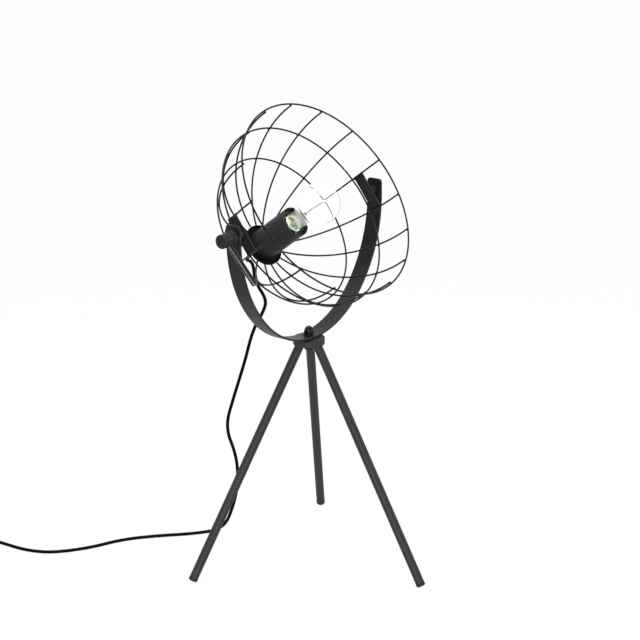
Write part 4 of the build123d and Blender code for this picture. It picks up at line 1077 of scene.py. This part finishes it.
def blend_colours(tree, mask, low, high):
    """Mix two colours, each a socket or a triple."""
    made = tree.nodes.new("ShaderNodeMix")
    made.data_type = "RGBA"
    low, high = ((*colour, 1) if isinstance(colour, tuple) else colour for colour in (low, high))
    feed(made, Factor=mask, A=low, B=high)
    return made.outputs["Result"]


def raise_surface(tree, shader, height, distance):
    bump = tree.nodes.new("ShaderNodeBump")
    feed(bump, Distance=distance, Height=height)
    feed(shader, Normal=bump.outputs[0])


def coated(name, grey, rough, grain_scale, depth, dust, specular, edge_highlight):
    """A black skin such as powder coat, moulded plastic or rubber, between two greys."""
    finish, tree, shader = new_finish(name, Specular_IOR_Level=specular)
    grain = place_group(tree, "grain", Grain_Scale=grain_scale)
    settled = place_group(tree, "dust", Amount=dust)
    dark, light = (tuple(level * part for part in GREY_TINT) for level in grey)
    skin = blend_colours(tree, grain["Tone"], dark, light)
    # Painted highlight: rounded edges are lightened towards a pale grey
    if edge_highlight:
        edges = place_group(tree, "edge", Amount=edge_highlight)
        skin = blend_colours(tree, edges["Mask"], skin, EDGE_HIGHLIGHT_GREY)
    feed(shader, Base_Color=blend_colours(tree, settled["Mask"], skin, DUST_COLOUR))
    feed(shader, Roughness=spread(tree, grain["Tone"], *rough))
    raise_surface(tree, shader, grain["Height"], depth)
    return finish


def bare_metal(name, dull, bright, rough):
    """Bare or plated metal with fine scratches and a cloudy tarnish."""
    finish, tree, shader = new_finish(name, Metallic=1.0)
    metal = place_group(tree, "metal")
    feed(shader, Base_Color=blend_colours(tree, metal["Cloud"], dull, bright))
    feed(shader, Roughness=spread(tree, metal["Scratch"], *rough))
    raise_surface(tree, shader, metal["Scratch"], 0.00001)
    return finish


def cap_brass():
    """Brass with heat-stained clouds of green and blue."""
    finish, tree, shader = new_finish("cap_brass", Metallic=1.0)
    metal = place_group(tree, "metal", Cloud_Scale=160.0)
    stains = place_group(tree, "metal", Cloud_Scale=95.0)
    gold = blend_colours(tree, metal["Cloud"], (0.62, 0.42, 0.16), (0.92, 0.74, 0.42))
    stained = spread(tree, stains["Cloud"], -3.2, 3.6)
    feed(shader, Base_Color=blend_colours(tree, stained, (0.10, 0.24, 0.20), gold))
    feed(shader, Roughness=spread(tree, metal["Scratch"], 0.34, 0.48))
    return finish


def clear_glass(name, glow, bending):
    """Clear glass with whatever painted glow it is given, as a painted highlight fullest at the neck's bend
    and down inside the sleeve.
    """
    finish, tree, shader = new_finish(name, Transmission_Weight=1.0, IOR=bending, Emission_Strength=glow)
    grain = place_group(tree, "grain", Grain_Scale=120.0)
    feed(shader, Base_Color=blend_colours(tree, grain["Tone"], (0.985, 0.985, 0.985), (1, 1, 1)))
    light_axis = HEAD.col[2].xyz
    spot = tree.nodes.new("ShaderNodeVectorMath")
    spot.operation = "DOT_PRODUCT"
    spot.inputs[1].default_value = light_axis
    join(tree, object_place(tree), spot.inputs[0])
    # How far a spot is ahead of the tilt axis, along the light
    along = math_node(tree, "SUBTRACT", spot.outputs["Value"], light_axis.dot(HEAD.translation))
    bend = ramp(tree, along, *BEND_HIGHLIGHT_LOW)
    bend = product(tree, bend, ramp(tree, along, *BEND_HIGHLIGHT_HIGH))
    painted_highlight = math_node(tree, "MAXIMUM", ramp(tree, along, *SLEEVE_HIGHLIGHT), bend)
    # The painted highlight is broken into streaks by a noise
    patches = place_group(tree, "grain", Grain_Scale=260.0)
    painted_highlight = product(tree, painted_highlight, spread(tree, patches["Tone"], -0.6, 2.2))
    feed(shader, Emission_Color=blend_colours(tree, painted_highlight, PAINTED_GLOW_COLOUR, PAINTED_HIGHLIGHT_COLOUR))
    feed(shader, Roughness=spread(tree, grain["Tone"], 0.0, 0.02))
    return finish


def glowing_wire():
    finish, tree, shader = new_finish("glowing_wire", Emission_Strength=FILAMENT_LIGHT)
    metal = place_group(tree, "metal")
    glow = blend_colours(tree, metal["Cloud"], (1, 0.72, 0.35), (1, 0.82, 0.5))
    feed(shader, Emission_Color=glow, Base_Color=glow)
    return finish


# Name, darkest and lightest grey, roughness range, grains a metre, grain depth in metres, dust,
# specular level, and how strongly a painted highlight lightens the edges
COATS = (
    ("powder_coat", (0.009, 0.014), (0.35, 0.50), 1500.0, 0.00004, 0.08, 0.12, 0.03),
    # Painted light and shade: the legs get a lighter grey than powder_coat's, and the yoke, lever, wires and
    # cap darker ones
    ("leg_coat", (0.024, 0.034), (0.36, 0.48), 1500.0, 0.00003, 0.05, 0.08, 0),
    ("yoke_coat", (0.004, 0.007), (0.34, 0.46), 1500.0, 0.00004, 0.05, 0.20, 0.05),
    ("lever_coat", (0.003, 0.005), (0.10, 0.16), 1500.0, 0.00001, 0.03, 0.16, 1.0),
    ("wire_coat", (0.003, 0.005), (0.18, 0.26), 2200.0, 0.00002, 0.02, 0.11, 0),
    ("sleeve_coat", (0.009, 0.014), (0.42, 0.55), 1800.0, 0.00003, 0.05, 0.16, 0.06),
    ("cap_coat", (0.004, 0.007), (0.50, 0.62), 1800.0, 0.00003, 0.02, 0.05, 0),
    ("blackened_steel", (0.002, 0.004), (0.18, 0.28), 2500.0, 0.00001, 0.03, 0.16, 0.05),
    ("black_plastic", (0.014, 0.021), (0.38, 0.50), 1800.0, 0.00002, 0.05, 0.35, 0.08),
    ("cord_sheath", (0.001, 0.002), (0.45, 0.57), 900.0, 0.00002, 0.01, 0.03, 0),
    ("foot_rubber", (0.013, 0.019), (0.60, 0.75), 1200.0, 0.00003, 0.10, 0.20, 0),
    ("cap_glass", (0.010, 0.016), (0.08, 0.14), 700.0, 0.00001, 0.0, 0.5, 0),
)
# Name, dull and bright colour, roughness range
METALS = (
    ("zinc_steel", (0.50, 0.51, 0.52), (0.66, 0.67, 0.68), (0.25, 0.40)),
    ("brass", (0.68, 0.50, 0.24), (0.86, 0.68, 0.38), (0.16, 0.28)),
    ("solder", (0.50, 0.50, 0.50), (0.68, 0.68, 0.67), (0.28, 0.45)),
    ("pin_nickel", (0.70, 0.68, 0.64), (0.82, 0.80, 0.76), (0.12, 0.24)),
)
# Finishes that are another look of one of the record's slots, some with greys lightened or darkened
# as painted light and shade; the rest have their slot's name
SLOT_OF = {f"{part}_coat": "powder_coat" for part in ("leg", "yoke", "lever", "wire", "sleeve", "cap")}
SLOT_OF.update(cap_brass="brass", stem_glass="bulb_glass")
FINISHES = {row[0]: coated(*row) for row in COATS}
FINISHES.update({row[0]: bare_metal(*row) for row in METALS})
FINISHES["cap_brass"] = cap_brass()
FINISHES["bulb_glass"] = clear_glass("bulb_glass", PAINTED_GLOW_STRENGTH, GLASS_BENDING)
FINISHES["stem_glass"] = clear_glass("stem_glass", 0.0, STEM_BENDING)
FINISHES["filament"] = glowing_wire()


def finish_frame_nodes():
    """Every carried-over node gets the finish of the record's slot for it."""
    for part in frame["record"]["subparts"]:
        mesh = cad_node(part["node"]).data
        mesh.materials.clear()
        mesh.materials.append(FINISHES[part["material_slot"]])


# ---- Studio ----

SKY_LIGHT = 0.24
SKY_SEEN = 1.0
FLOOR_SIZE = 30
FLOOR_WHITE = 0.965


def seen_mask(tree):
    """1 where the camera, a reflection or a view through glass meets a surface, else 0."""
    path = tree.nodes.new("ShaderNodeLightPath").outputs
    seen = math_node(tree, "ADD", path["Is Camera Ray"], path["Is Glossy Ray"])
    seen = math_node(tree, "ADD", seen, path["Is Transmission Ray"])
    return math_node(tree, "MINIMUM", seen, 1.0)


def make_world():
    world = bpy.data.worlds.new("studio")
    world.use_nodes = True
    tree = world.node_tree
    strength = spread(tree, seen_mask(tree), SKY_LIGHT, SKY_SEEN)
    feed(tree.nodes["Background"], Color=(1, 1, 1, 1), Strength=strength)
    bpy.context.scene.world = world


def make_floor():
    """A white floor that keeps a faint share of the lamp's shadow."""
    floor = bmesh.new()
    bmesh.ops.create_grid(floor, x_segments=1, y_segments=1, size=FLOOR_SIZE)
    mesh = bpy.data.meshes.new("studio_floor")
    floor.to_mesh(mesh)
    floor.free()
    finish, tree, shader = new_finish("studio_floor", Roughness=0.9, Specular_IOR_Level=0.1)
    tone = noise_node(tree, object_place(tree), 6.0)
    feed(shader, Base_Color=blend_colours(tree, tone, (0.86, 0.86, 0.86), (0.9, 0.9, 0.9)))
    glow = tree.nodes.new("ShaderNodeEmission")
    mixed = tree.nodes.new("ShaderNodeMixShader")
    feed(mixed, Fac=product(tree, seen_mask(tree), FLOOR_WHITE))
    join(tree, shader.outputs[0], mixed.inputs[1])
    join(tree, glow.outputs[0], mixed.inputs[2])
    feed(tree.nodes["Material Output"], Surface=mixed.outputs[0])
    mesh.materials.append(finish)
    stage = new_object("studio_floor", mesh)


LAMP_CENTRE = Vector((0, 0, 0.4))
# Name, place, side in metres, power in watts
SOFT_BOXES = (
    ("overhead", (-0.2, 0.1, 2.3), 1.8, 58.0),
    ("front_left", (-2.1, -1.4, 0.3), 0.6, 46.0),
    ("right", (1.6, -1.8, 1.2), 1.2, 12.0),
)


def make_lights():
    for name, place, size, power in SOFT_BOXES:
        data = bpy.data.lights.new(name, "AREA")
        data.shape = "SQUARE"
        data.size = size
        data.energy = power
        new_object(name, data).matrix_world = aimed(place, LAMP_CENTRE)


# ---- Build ----

make_camera()
make_world()
make_floor()
make_lights()
finish_frame_nodes()
make_stand()
make_yoke()
make_bowl()
make_pivots()
make_knob()
make_cap()
make_sleeve()
make_holder()
make_gland()
make_bulb()
make_switch()
make_plug()
make_cords()
bpy.context.scene.view_settings.view_transform = "Standard"
